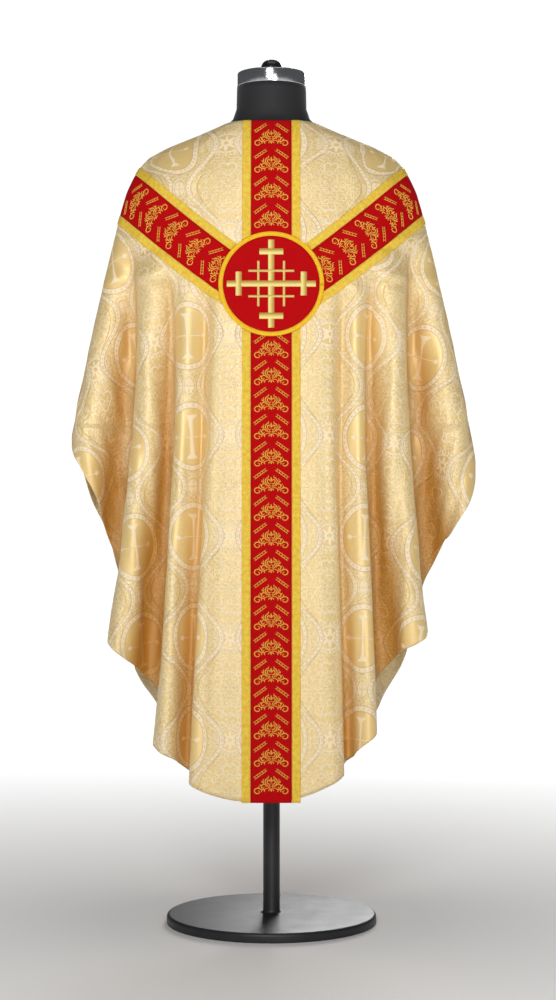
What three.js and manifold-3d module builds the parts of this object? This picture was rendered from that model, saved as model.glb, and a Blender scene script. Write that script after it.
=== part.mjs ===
// Gothic chasuble on a limbless dress form: a wide vestment of gold brocade that hangs in deep
// folds, with a red orphrey of column, arms and roundel edged in gold braid.
// Millimetres, +Z up. The back of the garment faces -Y and its front +Y. The origin is on the
// floor, on the axis of the stand.
import * as THREE from 'three';
import * as BufferGeometryUtils from 'three/addons/utils/BufferGeometryUtils.js';
import Module from 'manifold-3d';

const wasm = await Module();
wasm.setup();

// Cloth and the space between sewn pieces
const clothThickness = 2;
const seamGap = 0.3;
const wall = clothThickness / 2;

// Heights of the garment
const neckHeight = 1517;
const yokeHeight = 1390;
const waistHeight = 950;
const seamEndLeft = 930;
const seamEndRight = 882;
const hemCentreBack = 256;
const hemCentreFront = 296;
const frontNeckDip = 50;

// Orphrey bands: a red strip between two braids, flat across the middle of each panel
const bandWidth = 107;
const braidWidth = 16;
const flatHalf = 54.5;
const armStart = { x: 76, z: 1220.6 };
const armEnd = { x: 274, z: 1386.2 };
const armBow = 4.7;
const armOverrun = 0.2;
const bandLift = [0.3, 1.5];
const braidLift = [0.3, 1.8];

// Roundel and its cross
const roundelHeight = 1203;
const roundelRadius = 97;
const borderWidth = 8.3;
const fieldLift = [0.3, 2.2];
const borderLift = [0.3, 3.0];
const crossLift = [2.5, 4.3];
const mainBar = { width: 11.8, length: 163 };
const endBar = { width: 11.8, length: 44, centre: 59.5 };
const thinBar = { width: 4.4, length: 84, centre: 23.5 };

// Dress form, cap, pole and base
const formSides = 24;
const restDrop = 1.55;
const neckTop = 1594.7;
const capRadius = 65;
const capHeight = 29;
const knobRadius = 20.5;
const knobTop = 1647;
const poleRadius = 16;
const baseRadius = 200;
const baseHeight = 18;
const standGap = 0.3;

// Half width of the cloth seen from behind, from the neck down the shoulder to the wrist
const outline = [
  { z: 1517, half: 92 },
  { z: 1502, half: 130 },
  { z: 1487, half: 168 },
  { z: 1471, half: 207 },
  { z: 1456, half: 234 },
  { z: 1441, half: 249 },
  { z: 1420, half: 261 },
  { z: 1390, half: 275 },
  { z: 1334, half: 291 },
  { z: 1250, half: 312 },
  { z: 1150, half: 335 },
  { z: 1050, half: 356 },
  { z: 950, half: 376 },
  { z: 882, half: 388 },
];

// How far the middle of each panel stands from the shoulder plane
const backDepth = [
  { z: 1517, depth: 80 },
  { z: 1500, depth: 93 },
  { z: 1480, depth: 105 },
  { z: 1440, depth: 121 },
  { z: 1400, depth: 132 },
  { z: 1300, depth: 150 },
  { z: 1200, depth: 160 },
  { z: 1000, depth: 173 },
  { z: 800, depth: 183 },
  { z: 600, depth: 191 },
  { z: 240, depth: 202 },
];
const frontDepth = [
  { z: 1517, depth: 66 },
  { z: 1500, depth: 76 },
  { z: 1480, depth: 88 },
  { z: 1450, depth: 104 },
  { z: 1400, depth: 122 },
  { z: 1300, depth: 141 },
  { z: 1200, depth: 150 },
  { z: 1000, depth: 157 },
  { z: 600, depth: 168 },
  { z: 240, depth: 178 },
];

// One row for each stretch of a section, from the middle of a panel out to its side: length at
// the top, growth of that length for each millimetre below the height where its fold opens,
// turn of the fold in degrees, lean of the cloth at the shoulder and lower down, mesh steps,
// height of the hem where the stretch ends, and bend of the hem on the way there.
const backLeft = [
  { top: 98, grow: 0.038, opens: 1180, swing: 6, leanTop: 8, leanLow: 3, steps: 2, hem: 275, bend: 2.4 },
  { top: 18, grow: 0.03, opens: 1200, swing: 84, leanTop: 9, leanLow: 5, steps: 3, hem: 294, bend: 1 },
  { top: 22, grow: 0.035, opens: 1200, swing: -58, leanTop: 10, leanLow: 6, steps: 3, hem: 326, bend: 1 },
  { top: 58, grow: 0.03, opens: 1215, swing: 104, leanTop: 20, leanLow: 8, steps: 4, hem: 362, bend: 1 },
  { top: 10, grow: 0.125, opens: 1240, swing: -64, leanTop: 24, leanLow: 10, steps: 3, hem: 496, bend: 0.5 },
  { top: 74, grow: 0.066, opens: 1265, swing: 104, leanTop: 46, leanLow: 12, steps: 4, hem: 562, bend: 1 },
  { top: 12, grow: 0.215, opens: 1290, swing: -64, leanTop: 52, leanLow: 15, steps: 4, hem: 778, bend: 0.8 },
  { top: 62, grow: 0.165, opens: 1310, swing: 0, leanTop: 90, leanLow: 90, steps: 4, hem: 930, bend: 0.75 },
];
const backRight = [
  { top: 108, grow: 0.012, opens: 1175, swing: 6, leanTop: 8, leanLow: 3, steps: 2, hem: 288, bend: 1.6 },
  { top: 18, grow: 0.024, opens: 1195, swing: 86, leanTop: 9, leanLow: 5, steps: 3, hem: 308, bend: 1 },
  { top: 22, grow: 0.028, opens: 1200, swing: -58, leanTop: 10, leanLow: 6, steps: 3, hem: 340, bend: 1 },
  { top: 46, grow: 0.044, opens: 1220, swing: 102, leanTop: 20, leanLow: 8, steps: 4, hem: 396, bend: 1 },
  { top: 10, grow: 0.12, opens: 1235, swing: -62, leanTop: 24, leanLow: 10, steps: 3, hem: 520, bend: 0.6 },
  { top: 85, grow: 0.06, opens: 1270, swing: 102, leanTop: 46, leanLow: 12, steps: 4, hem: 570, bend: 1 },
  { top: 12, grow: 0.21, opens: 1285, swing: -62, leanTop: 52, leanLow: 15, steps: 4, hem: 730, bend: 1 },
  { top: 64, grow: 0.165, opens: 1310, swing: 0, leanTop: 90, leanLow: 90, steps: 4, hem: 882, bend: 1.2 },
];
const frontLeft = [
  { top: 122, grow: 0.01, opens: 1160, swing: 5, leanTop: 8, leanLow: 3, steps: 2, hem: 322, bend: 2 },
  { top: 9, grow: 0.03, opens: 1170, swing: 66, leanTop: 9, leanLow: 5, steps: 2, hem: 336, bend: 1 },
  { top: 9, grow: 0.05, opens: 1180, swing: -46, leanTop: 10, leanLow: 6, steps: 2, hem: 372, bend: 1 },
  { top: 76, grow: 0.05, opens: 1210, swing: 96, leanTop: 24, leanLow: 8, steps: 3, hem: 520, bend: 1 },
  { top: 14, grow: 0.14, opens: 1250, swing: -58, leanTop: 34, leanLow: 11, steps: 3, hem: 710, bend: 1 },
  { top: 84, grow: 0.06, opens: 1270, swing: 80, leanTop: 58, leanLow: 16, steps: 4, hem: 888, bend: 1 },
  { top: 50, grow: 0.2, opens: 1300, swing: 0, leanTop: 90, leanLow: 90, steps: 4, hem: 930, bend: 0.6 },
];
const frontRight = [
  { top: 116, grow: 0.01, opens: 1165, swing: 5, leanTop: 8, leanLow: 3, steps: 2, hem: 326, bend: 2 },
  { top: 9, grow: 0.032, opens: 1175, swing: 66, leanTop: 9, leanLow: 5, steps: 2, hem: 340, bend: 1 },
  { top: 9, grow: 0.048, opens: 1185, swing: -46, leanTop: 10, leanLow: 6, steps: 2, hem: 384, bend: 1 },
  { top: 82, grow: 0.046, opens: 1205, swing: 94, leanTop: 24, leanLow: 8, steps: 3, hem: 560, bend: 1 },
  { top: 14, grow: 0.135, opens: 1245, swing: -56, leanTop: 34, leanLow: 11, steps: 3, hem: 700, bend: 1 },
  { top: 88, grow: 0.055, opens: 1275, swing: 80, leanTop: 58, leanLow: 16, steps: 4, hem: 840, bend: 1 },
  { top: 50, grow: 0.2, opens: 1300, swing: 0, leanTop: 90, leanLow: 90, steps: 4, hem: 882, bend: 0.7 },
];

// Heights of the mesh rows down to the waist of the garment, and the share of the way from
// there to the hem of the rows below it
const upperRows = [1517, 1502, 1487, 1471, 1456, 1441, 1420, 1390, 1334, 1250, 1130, 950];
const lowerRows = [0.34, 0.67, 1];

// Rings of the dress form: half width across the shoulders and half depth
const formRings = [
  { z: 838, half: 120, depth: 80 },
  { z: 846, half: 168, depth: 108 },
  { z: 900, half: 180, depth: 116 },
  { z: 1000, half: 172, depth: 110 },
  { z: 1100, half: 160, depth: 98 },
  { z: 1200, half: 168, depth: 106 },
  { z: 1300, half: 178, depth: 108 },
  { z: 1380, half: 188, depth: 98 },
  { z: 1430, half: 196, depth: 84 },
  { z: 1466 - restDrop, half: 197, depth: 70 },
  { z: 1487 - restDrop, half: 168, depth: 62 },
  { z: 1502 - restDrop, half: 130, depth: 58 },
  { z: 1517 - restDrop, half: 92, depth: 56 },
  { z: 1532, half: 74, depth: 62 },
  { z: 1552, half: 67, depth: 65 },
  { z: neckTop, half: 66, depth: 66 },
];

// Fine steps in which a stretch of the section is summed
const fineSteps = 60;
const foldSoftness = 160;
const sideLean = 90;
const neckBlend = { low: 1400, high: 1517 };
const leanBlend = { high: 1380, low: 1100 };
const neckCurve = 4;

const material = (color, roughness, metalness = 0) =>
  new THREE.MeshStandardMaterial({ color, roughness, metalness });
const brocade = material('#e3cd9b', 0.6);
const orphreyRed = material('#b00c16', 0.75);
const braidGold = material('#e2bc32', 0.65);
const borderGold = material('#f5b31c', 0.7);
const crossGold = material('#d8c274', 0.4, 0.5);
const formCover = material('#17171a', 0.8);
const chrome = material('#c9ccd0', 0.15, 1);
const knobBlack = material('#0c0c0e', 0.3);
const standPaint = material('#2a2a2c', 0.5, 0.4);

const radians = (degrees) => (degrees * Math.PI) / 180;

const smoothStep = (share) => {
  const s = Math.min(1, Math.max(0, share));
  return s * s * (3 - 2 * s);
};

// Value of a table's column at height z, on straight lines between its rows, which go down
function tableAt(table, column, z) {
  if (z >= table[0].z) return table[0][column];
  for (let i = 1; i < table.length; i += 1) {
    const upper = table[i - 1];
    const lower = table[i];
    if (z >= lower.z) {
      const share = (upper.z - z) / (upper.z - lower.z);
      return upper[column] + (lower[column] - upper[column]) * share;
    }
  }
  return table[table.length - 1][column];
}

// Section of one half of a panel at height z, from its middle: the cloth's direction swings
// from fold to fold, and the section is summed along it, then sized to the outline
function halfSection(side, z) {
  const { folds, depths, seamEnd } = side;
  const opened = folds.map((fold) => Math.max(0, fold.opens - z));
  const lengths = folds.map((fold, k) => fold.top + fold.grow * opened[k]);
  const total = lengths.reduce((sum, length) => sum + length, 0);
  const neck = smoothStep((z - neckBlend.low) / (neckBlend.high - neckBlend.low));
  const low = smoothStep((leanBlend.high - z) / (leanBlend.high - leanBlend.low));
  const points = [new THREE.Vector2(0, 0)];
  let x = 0;
  let y = 0;
  let angle = 0;
  let run = 0;
  folds.forEach((fold, k) => {
    run += lengths[k];
    const share = Math.sqrt(opened[k] / (opened[k] + foldSoftness));
    const plain = fold.leanTop * (1 - low) + fold.leanLow * low;
    const lean = plain * (1 - neck) + sideLean * (run / total) * neck;
    const nextAngle = lean + share * fold.swing;
    const step = lengths[k] / fineSteps;
    for (let i = 0; i < fineSteps; i += 1) {
      const swing = (1 - Math.cos((Math.PI * (i + 0.5)) / fineSteps)) / 2;
      const direction = radians(angle + (nextAngle - angle) * swing);
      x += Math.cos(direction) * step;
      y += Math.sin(direction) * step;
      points.push(new THREE.Vector2(x, y));
    }
    angle = nextAngle;
  });
  const end = points[points.length - 1];
  const wristZ = Math.max(z, seamEnd);
  const width = tableAt(outline, 'half', wristZ);
  const depth = tableAt(depths, 'depth', z);
  return { points, end, width, depth };
}

// Point of a half panel at height z: stretch k, share of the stretch. Below the wrist the width
// keeps the scale it has there, but the free edge comes no further out than the wrist and the
// cloth stays on its own side of the shoulder plane.
function clothPoint(side, z, k, share) {
  const section = halfSection(side, z);
  const wrist = z < side.seamEnd ? halfSection(side, side.seamEnd) : section;
  const scaleX = (wrist.width - flatHalf) / (wrist.end.x - flatHalf);
  const scaleY = wrist.depth / wrist.end.y;
  const point = section.points[k * fineSteps + Math.round(share * fineSteps)];
  const scaled = (x) => (x > flatHalf ? flatHalf + (x - flatHalf) * scaleX : x);
  const reach = point.x / section.end.x;
  const excessX = scaled(section.end.x) - wrist.width;
  const excessY = section.end.y * scaleY - section.depth;
  const across = scaled(point.x) - excessX * reach ** 5;
  const out = section.depth - point.y * scaleY + excessY * reach * reach;
  return new THREE.Vector3(side.hand * across, side.facing * out, z);
}

// Height of mesh row r on a column whose neckline and hem are given
function rowHeight(r, neck, hem) {
  if (r < upperRows.length) {
    const level = upperRows[r];
    if (level <= yokeHeight) return level;
    return yokeHeight + ((neck - yokeHeight) * (level - yokeHeight)) / (neckHeight - yokeHeight);
  }
  return waistHeight - (waistHeight - hem) * lowerRows[r - upperRows.length];
}

// Columns of one half panel from its middle to its side, each a list of points down the cloth
function halfColumns(side) {
  const rows = upperRows.length + lowerRows.length;
  const columns = [];
  let run = 0;
  const topTotal = side.folds.reduce((sum, fold) => sum + fold.top, 0);
  side.folds.forEach((fold, k) => {
    const hemBefore = k === 0 ? side.hemCentre : side.folds[k - 1].hem;
    for (let i = k === 0 ? 0 : 1; i <= fold.steps; i += 1) {
      const share = i / fold.steps;
      const hem = hemBefore + (fold.hem - hemBefore) * share ** fold.bend;
      const along = (run + fold.top * share) / topTotal;
      const neck = neckHeight - side.neckDip * Math.cos((along * Math.PI) / 2) ** neckCurve;
      const column = [];
      for (let r = 0; r < rows; r += 1) {
        column.push(clothPoint(side, rowHeight(r, neck, hem), k, share));
      }
      columns.push(column);
    }
    run += fold.top;
  });
  const last = columns[columns.length - 1];
  last.forEach((point) => {
    point.y = (side.facing * seamGap) / 2;
  });
  return columns;
}

// Grid of a whole panel, from the left side seam to the right one, with its outward normals
function panelGrid(left, right) {
  const leftColumns = halfColumns(left).reverse();
  const rightColumns = halfColumns(right).slice(1);
  const points = [...leftColumns, ...rightColumns];
  const count = points.length;
  const rows = points[0].length;
  const normals = points.map((column, c) => column.map((point, r) => {
    const nextColumn = points[Math.min(count - 1, c + 1)][r];
    const lastColumn = points[Math.max(0, c - 1)][r];
    const across = new THREE.Vector3().subVectors(nextColumn, lastColumn).normalize();
    const down = new THREE.Vector3()
      .subVectors(column[Math.min(rows - 1, r + 1)], column[Math.max(0, r - 1)])
      .normalize();
    if (c === 0 || c === count - 1) {
      const hand = c === 0 ? -1 : 1;
      return new THREE.Vector3(-down.z * hand, 0, down.x * hand).normalize();
    }
    const normal = new THREE.Vector3().crossVectors(down, across).normalize();
    return normal.multiplyScalar(-left.facing);
  }));
  return { points, normals, facing: left.facing };
}

// Closed wall between two distances along the normals of a grid
function gridWall(grid, inner, outer) {
  const { points, normals, facing } = grid;
  const columns = points.length;
  const rows = points[0].length;
  const positions = [];
  [outer, inner].forEach((distance) => {
    points.forEach((column, c) => column.forEach((point, r) => {
      const moved = point.clone().addScaledVector(normals[c][r], distance);
      positions.push(moved.x, moved.y, moved.z);
    }));
  });
  const index = [];
  const at = (layer, c, r) => layer * columns * rows + c * rows + r;
  const quad = (a, b, c, d) => {
    if (facing < 0) index.push(a, b, c, a, c, d);
    else index.push(a, c, b, a, d, c);
  };
  for (let c = 0; c < columns - 1; c += 1) {
    for (let r = 0; r < rows - 1; r += 1) {
      quad(at(0, c, r), at(0, c, r + 1), at(0, c + 1, r + 1), at(0, c + 1, r));
      const [p, q, s, t] = [at(1, c, r), at(1, c, r + 1), at(1, c + 1, r + 1), at(1, c + 1, r)];
      if (facing < 0) index.push(p, s, q, p, t, s);
      else index.push(p, q, s, p, s, t);
    }
  }
  for (let r = 0; r < rows - 1; r += 1) {
    quad(at(1, 0, r), at(1, 0, r + 1), at(0, 0, r + 1), at(0, 0, r));
    const c = columns - 1;
    quad(at(0, c, r), at(0, c, r + 1), at(1, c, r + 1), at(1, c, r));
  }
  for (let c = 0; c < columns - 1; c += 1) {
    quad(at(1, c, 0), at(0, c, 0), at(0, c + 1, 0), at(1, c + 1, 0));
    const r = rows - 1;
    quad(at(0, c, r), at(1, c, r), at(1, c + 1, r), at(0, c + 1, r));
  }
  const geometry = new THREE.BufferGeometry();
  geometry.setAttribute('position', new THREE.Float32BufferAttribute(positions, 3));
  geometry.setIndex(index);
  return geometry;
}

function toSolid(geometry) {
  const bare = geometry.clone();
  bare.deleteAttribute('normal');
  bare.deleteAttribute('uv');
  const merged = BufferGeometryUtils.mergeVertices(bare, 1e-4);
  const mesh = new wasm.Mesh({
    numProp: 3,
    vertProperties: new Float32Array(merged.attributes.position.array),
    triVerts: new Uint32Array(merged.index.array),
  });
  return new wasm.Manifold(mesh);
}

function toGeometry(solid) {
  const mesh = solid.getMesh();
  const geometry = new THREE.BufferGeometry();
  geometry.setAttribute('position', new THREE.Float32BufferAttribute(mesh.vertProperties, 3));
  geometry.setIndex(Array.from(mesh.triVerts));
  return geometry;
}

// Solid that cuts a piece out of a layer: an outline seen from behind, carried along Y from the
// shoulder plane to beyond the cloth on one side
function cutter(shape, facing) {
  const reach = 260;
  const geometry = new THREE.ExtrudeGeometry(shape, { depth: reach, bevelEnabled: false, curveSegments: 16 });
  geometry.rotateX(Math.PI / 2);
  geometry.translate(0, facing > 0 ? reach - 1 : 1, 0);
  return toSolid(geometry);
}

const shapeOf = (pairs) => new THREE.Shape(pairs.map(([x, z]) => new THREE.Vector2(x, z)));

const rectangle = (left, right, bottom, top) =>
  shapeOf([[left, bottom], [right, bottom], [right, top], [left, top]]);

// Outline of a strip of an arm between two distances from its axis, which bows a little
function armShape(hand, low, high) {
  const span = new THREE.Vector2(armEnd.x - armStart.x, armEnd.z - armStart.z);
  const across = new THREE.Vector2(-span.y, span.x).normalize();
  const pointAt = (along, off) => {
    const shift = off + armBow * 4 * along * (along - 1);
    const x = armStart.x + span.x * along + across.x * shift;
    return [hand * x, armStart.z + span.y * along + across.y * shift];
  };
  const stations = [-armOverrun, 0.15, 0.5, 0.85, 1 + armOverrun];
  const lower = stations.map((along) => pointAt(along, low));
  const upper = stations.map((along) => pointAt(along, high)).reverse();
  const pairs = [...lower, ...upper];
  return shapeOf(hand > 0 ? pairs : pairs.reverse());
}

function circle(radius) {
  const shape = new THREE.Shape();
  shape.absarc(0, roundelHeight, radius, 0, Math.PI * 2, false);
  return shape;
}

const bar = (x, z, width, height) =>
  rectangle(x - width / 2, x + width / 2, roundelHeight + z - height / 2, roundelHeight + z + height / 2);

const group = new THREE.Group();

function addMesh(name, geometry, surface) {
  const mesh = new THREE.Mesh(geometry, surface);
  mesh.name = name;
  group.add(mesh);
}

// The two panels
const half = (folds, depths, facing, hand, hemCentre, neckDip) => ({
  folds,
  depths,
  facing,
  hand,
  hemCentre,
  neckDip,
  seamEnd: hand < 0 ? seamEndLeft : seamEndRight,
});
const back = panelGrid(
  half(backLeft, backDepth, -1, -1, hemCentreBack, 0),
  half(backRight, backDepth, -1, 1, hemCentreBack, 0),
);
const front = panelGrid(
  half(frontLeft, frontDepth, 1, -1, hemCentreFront, frontNeckDip),
  half(frontRight, frontDepth, 1, 1, hemCentreFront, frontNeckDip),
);
addMesh('panel_back', gridWall(back, -wall, wall), brocade);
addMesh('panel_front', gridWall(front, -wall, wall), brocade);

// Layers that lie on the panels, each cut to its outline
const layer = (grid, lift) => toSolid(gridWall(grid, wall + lift[0], wall + lift[1]));
const redHalf = bandWidth / 2 - braidWidth;
const braidInner = redHalf + seamGap;
const bandOuter = bandWidth / 2;
const roundelClear = cutter(circle(roundelRadius + seamGap), -1);
const low = 0;
const high = 1700;

function addColumn(grid, name, height, clear) {
  const [bottom, top] = height;
  const strips = [
    { part: 'orphrey', lift: bandLift, from: -redHalf, to: redHalf, surface: orphreyRed },
    { part: 'braid', end: '_left', lift: braidLift, from: -bandOuter, to: -braidInner, surface: braidGold },
    { part: 'braid', end: '_right', lift: braidLift, from: braidInner, to: bandOuter, surface: braidGold },
  ];
  strips.forEach(({ part, end = '', lift, from, to, surface }) => {
    let piece = layer(grid, lift).intersect(cutter(rectangle(from, to, bottom, top), grid.facing));
    if (clear) piece = piece.subtract(clear);
    addMesh(`${part}_${name}${end}`, toGeometry(piece), surface);
  });
}

function addArm(grid, name, hand, clear) {
  const strips = [
    { part: 'orphrey', lift: bandLift, from: -redHalf, to: redHalf, surface: orphreyRed },
    { part: 'braid', end: '_low', lift: braidLift, from: -bandOuter, to: -braidInner, surface: braidGold },
    { part: 'braid', end: '_high', lift: braidLift, from: braidInner, to: bandOuter, surface: braidGold },
  ];
  strips.forEach(({ part, end = '', lift, from, to, surface }) => {
    const piece = layer(grid, lift)
      .intersect(cutter(armShape(hand, from, to), grid.facing))
      .subtract(clear);
    addMesh(`${part}_${name}${end}`, toGeometry(piece), surface);
  });
}

addColumn(back, 'back_upper', [roundelHeight, high], roundelClear);
addColumn(back, 'back_lower', [low, roundelHeight], roundelClear);
addArm(back, 'back_left', -1, roundelClear);
addArm(back, 'back_right', 1, roundelClear);

// On the front the arms run straight into the column
const columnClear = cutter(rectangle(-bandOuter - seamGap, bandOuter + seamGap, low, high), 1);
addColumn(front, 'front', [low, high], null);
addArm(front, 'front_left', -1, columnClear);
addArm(front, 'front_right', 1, columnClear);

// Roundel: disc, border ring and cross
const fieldRadius = roundelRadius - borderWidth - seamGap;
const field = layer(back, fieldLift).intersect(cutter(circle(fieldRadius), -1));
addMesh('roundel_field', toGeometry(field), orphreyRed);
const border = layer(back, borderLift)
  .intersect(cutter(circle(roundelRadius), -1))
  .subtract(cutter(circle(roundelRadius - borderWidth), -1));
addMesh('roundel_border', toGeometry(border), borderGold);

const crossBars = [
  bar(0, 0, mainBar.width, mainBar.length),
  bar(0, 0, mainBar.length, mainBar.width),
];
[-1, 1].forEach((side) => {
  crossBars.push(bar(0, side * endBar.centre, endBar.length, endBar.width));
  crossBars.push(bar(side * endBar.centre, 0, endBar.width, endBar.length));
  crossBars.push(bar(0, side * thinBar.centre, thinBar.length, thinBar.width));
  crossBars.push(bar(side * thinBar.centre, 0, thinBar.width, thinBar.length));
});
const crossCutter = crossBars
  .map((shape) => cutter(shape, -1))
  .reduce((sum, solid) => sum.add(solid));
addMesh('roundel_cross', toGeometry(layer(back, crossLift).intersect(crossCutter)), crossGold);

// Closed body through elliptic rings given from the bottom up
function ringBody(rings, sides) {
  const positions = [];
  rings.forEach(({ z, half: across, depth }) => {
    for (let i = 0; i < sides; i += 1) {
      const angle = (2 * Math.PI * i) / sides;
      positions.push(across * Math.cos(angle), depth * Math.sin(angle), z);
    }
  });
  const index = [];
  for (let r = 0; r < rings.length - 1; r += 1) {
    for (let i = 0; i < sides; i += 1) {
      const j = (i + 1) % sides;
      const [a, b] = [r * sides + i, r * sides + j];
      index.push(a, b, b + sides, a, b + sides, a + sides);
    }
  }
  const top = (rings.length - 1) * sides;
  for (let i = 1; i < sides - 1; i += 1) {
    index.push(0, i + 1, i, top, top + i, top + i + 1);
  }
  const geometry = new THREE.BufferGeometry();
  geometry.setAttribute('position', new THREE.Float32BufferAttribute(positions, 3));
  geometry.setIndex(index);
  return geometry;
}
addMesh('form_torso', ringBody(formRings, formSides), formCover);

// Turned pieces: a profile of radius and height, from the axis and back to it
function turned(profile, segments) {
  const points = profile.map(([radius, z]) => new THREE.Vector2(radius, z));
  const geometry = new THREE.LatheGeometry(points, segments);
  geometry.rotateX(Math.PI / 2);
  return geometry;
}
const capBase = neckTop + standGap;
const capTop = capBase + capHeight;
addMesh('neck_cap', turned([
  [0, capBase],
  [capRadius - 1, capBase],
  [capRadius, capBase + 1],
  [capRadius, capBase + 21],
  [capRadius - 2, capBase + 23],
  [capRadius - 20, capBase + 26],
  [18, capTop],
  [0, capTop],
], 24), chrome);

const knobBase = capTop + standGap;
const knobMiddle = knobTop - (knobTop - knobBase) / 2;
addMesh('cap_knob', turned([
  [0, knobBase],
  [knobRadius - 3, knobBase],
  [knobRadius, knobBase + 4],
  [knobRadius - 1, knobMiddle],
  [knobRadius - 5, knobTop - 5],
  [knobRadius - 13, knobTop - 1],
  [0, knobTop],
], 24), knobBlack);

// Stand: round base and pole welded in one, just short of the form's underside
const poleTop = formRings[0].z - standGap;
addMesh('stand', turned([
  [0, 0],
  [baseRadius, 0],
  [baseRadius, 9],
  [baseRadius - 6, 13],
  [poleRadius + 30, baseHeight],
  [poleRadius, baseHeight + 8],
  [poleRadius, poleTop],
  [0, poleTop],
], 32), standPaint);

export default group;
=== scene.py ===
import math
import bpy
import numpy as np
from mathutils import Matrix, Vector


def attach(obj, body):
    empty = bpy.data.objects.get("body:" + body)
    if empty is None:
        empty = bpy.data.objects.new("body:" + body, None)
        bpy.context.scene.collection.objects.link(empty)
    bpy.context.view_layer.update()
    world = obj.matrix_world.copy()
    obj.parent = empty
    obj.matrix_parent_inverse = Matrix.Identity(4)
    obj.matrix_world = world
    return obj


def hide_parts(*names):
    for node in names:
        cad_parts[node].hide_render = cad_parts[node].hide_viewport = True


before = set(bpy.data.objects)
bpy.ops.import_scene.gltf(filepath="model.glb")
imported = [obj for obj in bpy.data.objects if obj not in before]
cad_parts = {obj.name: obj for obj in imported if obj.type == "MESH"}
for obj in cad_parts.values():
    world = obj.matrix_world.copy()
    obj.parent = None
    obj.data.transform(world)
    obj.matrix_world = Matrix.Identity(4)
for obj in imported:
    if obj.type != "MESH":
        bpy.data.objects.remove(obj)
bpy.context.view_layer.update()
print("frame loaded")

mm = 0.001

# Shape of the garment, in millimetres. Each fold row holds, from the middle of a panel out to its
# side: length at the top, growth of it for each millimetre below the height where the fold opens,
# that height, turn of the fold in degrees, lean at the shoulder and lower down, columns of the
# mesh, hem height at its end and bend of the hem on the way there.
garment = {
    "wall": 1.6,
    "neck": 1517.0,
    "neckSpan": 117.0,  # height over which the section turns level towards the neckline
    "yoke": 1390.0,
    "leanFrom": 1380.0,
    "leanSpan": 280.0,
    "waist": 950.0,
    "flatHalf": 54.5,
    "softness": 160.0,  # drop below its opening at which a fold has most of its turn
    "seamHalf": 0.15,
    "fineSteps": 6,
    "levels": (236.0, 1522.0, 4.0),
    "upperRows": 66,
    "lowerRows": 84,
    "outline": [(1517, 92), (1502, 130), (1487, 168), (1471, 207), (1456, 234), (1441, 249), (1420, 261),
                (1390, 275), (1334, 291), (1250, 312), (1150, 335), (1050, 356), (950, 376), (882, 388)],
    "backDepth": [(1517, 80), (1500, 93), (1480, 105), (1440, 121), (1400, 132), (1300, 150), (1200, 160),
                  (1000, 173), (800, 183), (600, 191), (240, 202)],
    "frontDepth": [(1517, 66), (1500, 76), (1480, 88), (1450, 104), (1400, 122), (1300, 141), (1200, 150),
                   (1000, 157), (600, 168), (240, 178)],
}
backLeft = {"hand": -1, "facing": -1, "hemCentre": 256, "neckDip": 0, "seamEnd": 930, "folds": [
    (98, 0.038, 1180, 6, 8, 3, 15, 275, 2.4), (18, 0.03, 1200, 96, 9, 5, 8, 294, 1),
    (22, 0.035, 1200, -64, 10, 6, 9, 326, 1), (58, 0.03, 1215, 104, 20, 8, 13, 362, 1),
    (10, 0.125, 1240, -64, 24, 10, 14, 496, 0.5), (74, 0.066, 1265, 104, 46, 12, 16, 562, 1),
    (12, 0.215, 1290, -64, 52, 15, 21, 778, 0.8), (62, 0.165, 1310, 0, 90, 90, 22, 930, 0.75)]}
backRight = {"hand": 1, "facing": -1, "hemCentre": 256, "neckDip": 0, "seamEnd": 882, "folds": [
    (108, 0.012, 1175, 6, 8, 3, 15, 288, 1.6), (18, 0.024, 1195, 98, 9, 5, 8, 308, 1),
    (22, 0.028, 1200, -64, 10, 6, 9, 340, 1), (46, 0.044, 1220, 102, 20, 8, 12, 396, 1),
    (10, 0.12, 1235, -62, 24, 10, 14, 520, 0.6), (85, 0.06, 1270, 102, 46, 12, 17, 570, 1),
    (12, 0.21, 1285, -62, 52, 15, 20, 730, 1), (64, 0.165, 1310, 0, 90, 90, 22, 882, 1.2)]}
frontLeft = {"hand": -1, "facing": 1, "hemCentre": 296, "neckDip": 50, "seamEnd": 930, "folds": [
    (122, 0.01, 1160, 5, 8, 3, 15, 322, 2), (9, 0.03, 1170, 66, 9, 5, 5, 336, 1),
    (9, 0.05, 1180, -46, 10, 6, 6, 372, 1), (76, 0.05, 1210, 96, 24, 8, 14, 520, 1),
    (14, 0.14, 1250, -58, 34, 11, 14, 710, 1), (84, 0.06, 1270, 80, 58, 16, 15, 888, 1),
    (50, 0.2, 1300, 0, 90, 90, 20, 930, 0.6)]}
frontRight = {"hand": 1, "facing": 1, "hemCentre": 296, "neckDip": 50, "seamEnd": 882, "folds": [
    (116, 0.01, 1165, 5, 8, 3, 15, 326, 2), (9, 0.032, 1175, 66, 9, 5, 5, 340, 1),
    (9, 0.048, 1185, -46, 10, 6, 6, 384, 1), (82, 0.046, 1205, 94, 24, 8, 14, 560, 1),
    (14, 0.135, 1245, -56, 34, 11, 14, 700, 1), (88, 0.055, 1275, 80, 58, 16, 15, 840, 1),
    (50, 0.2, 1300, 0, 90, 90, 20, 882, 0.7)]}


# Share of 0 to 1 that starts and ends gently: 3s² - 2s³
def smooth(share):
    share = np.clip(share, 0, 1)
    return share * share * (3 - 2 * share)


# Value at a height in a table of (height, value) rows, highest first
def along(table, z):
    rows = np.array(table, float)[::-1]
    return np.interp(z, rows[:, 0], rows[:, 1])


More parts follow.
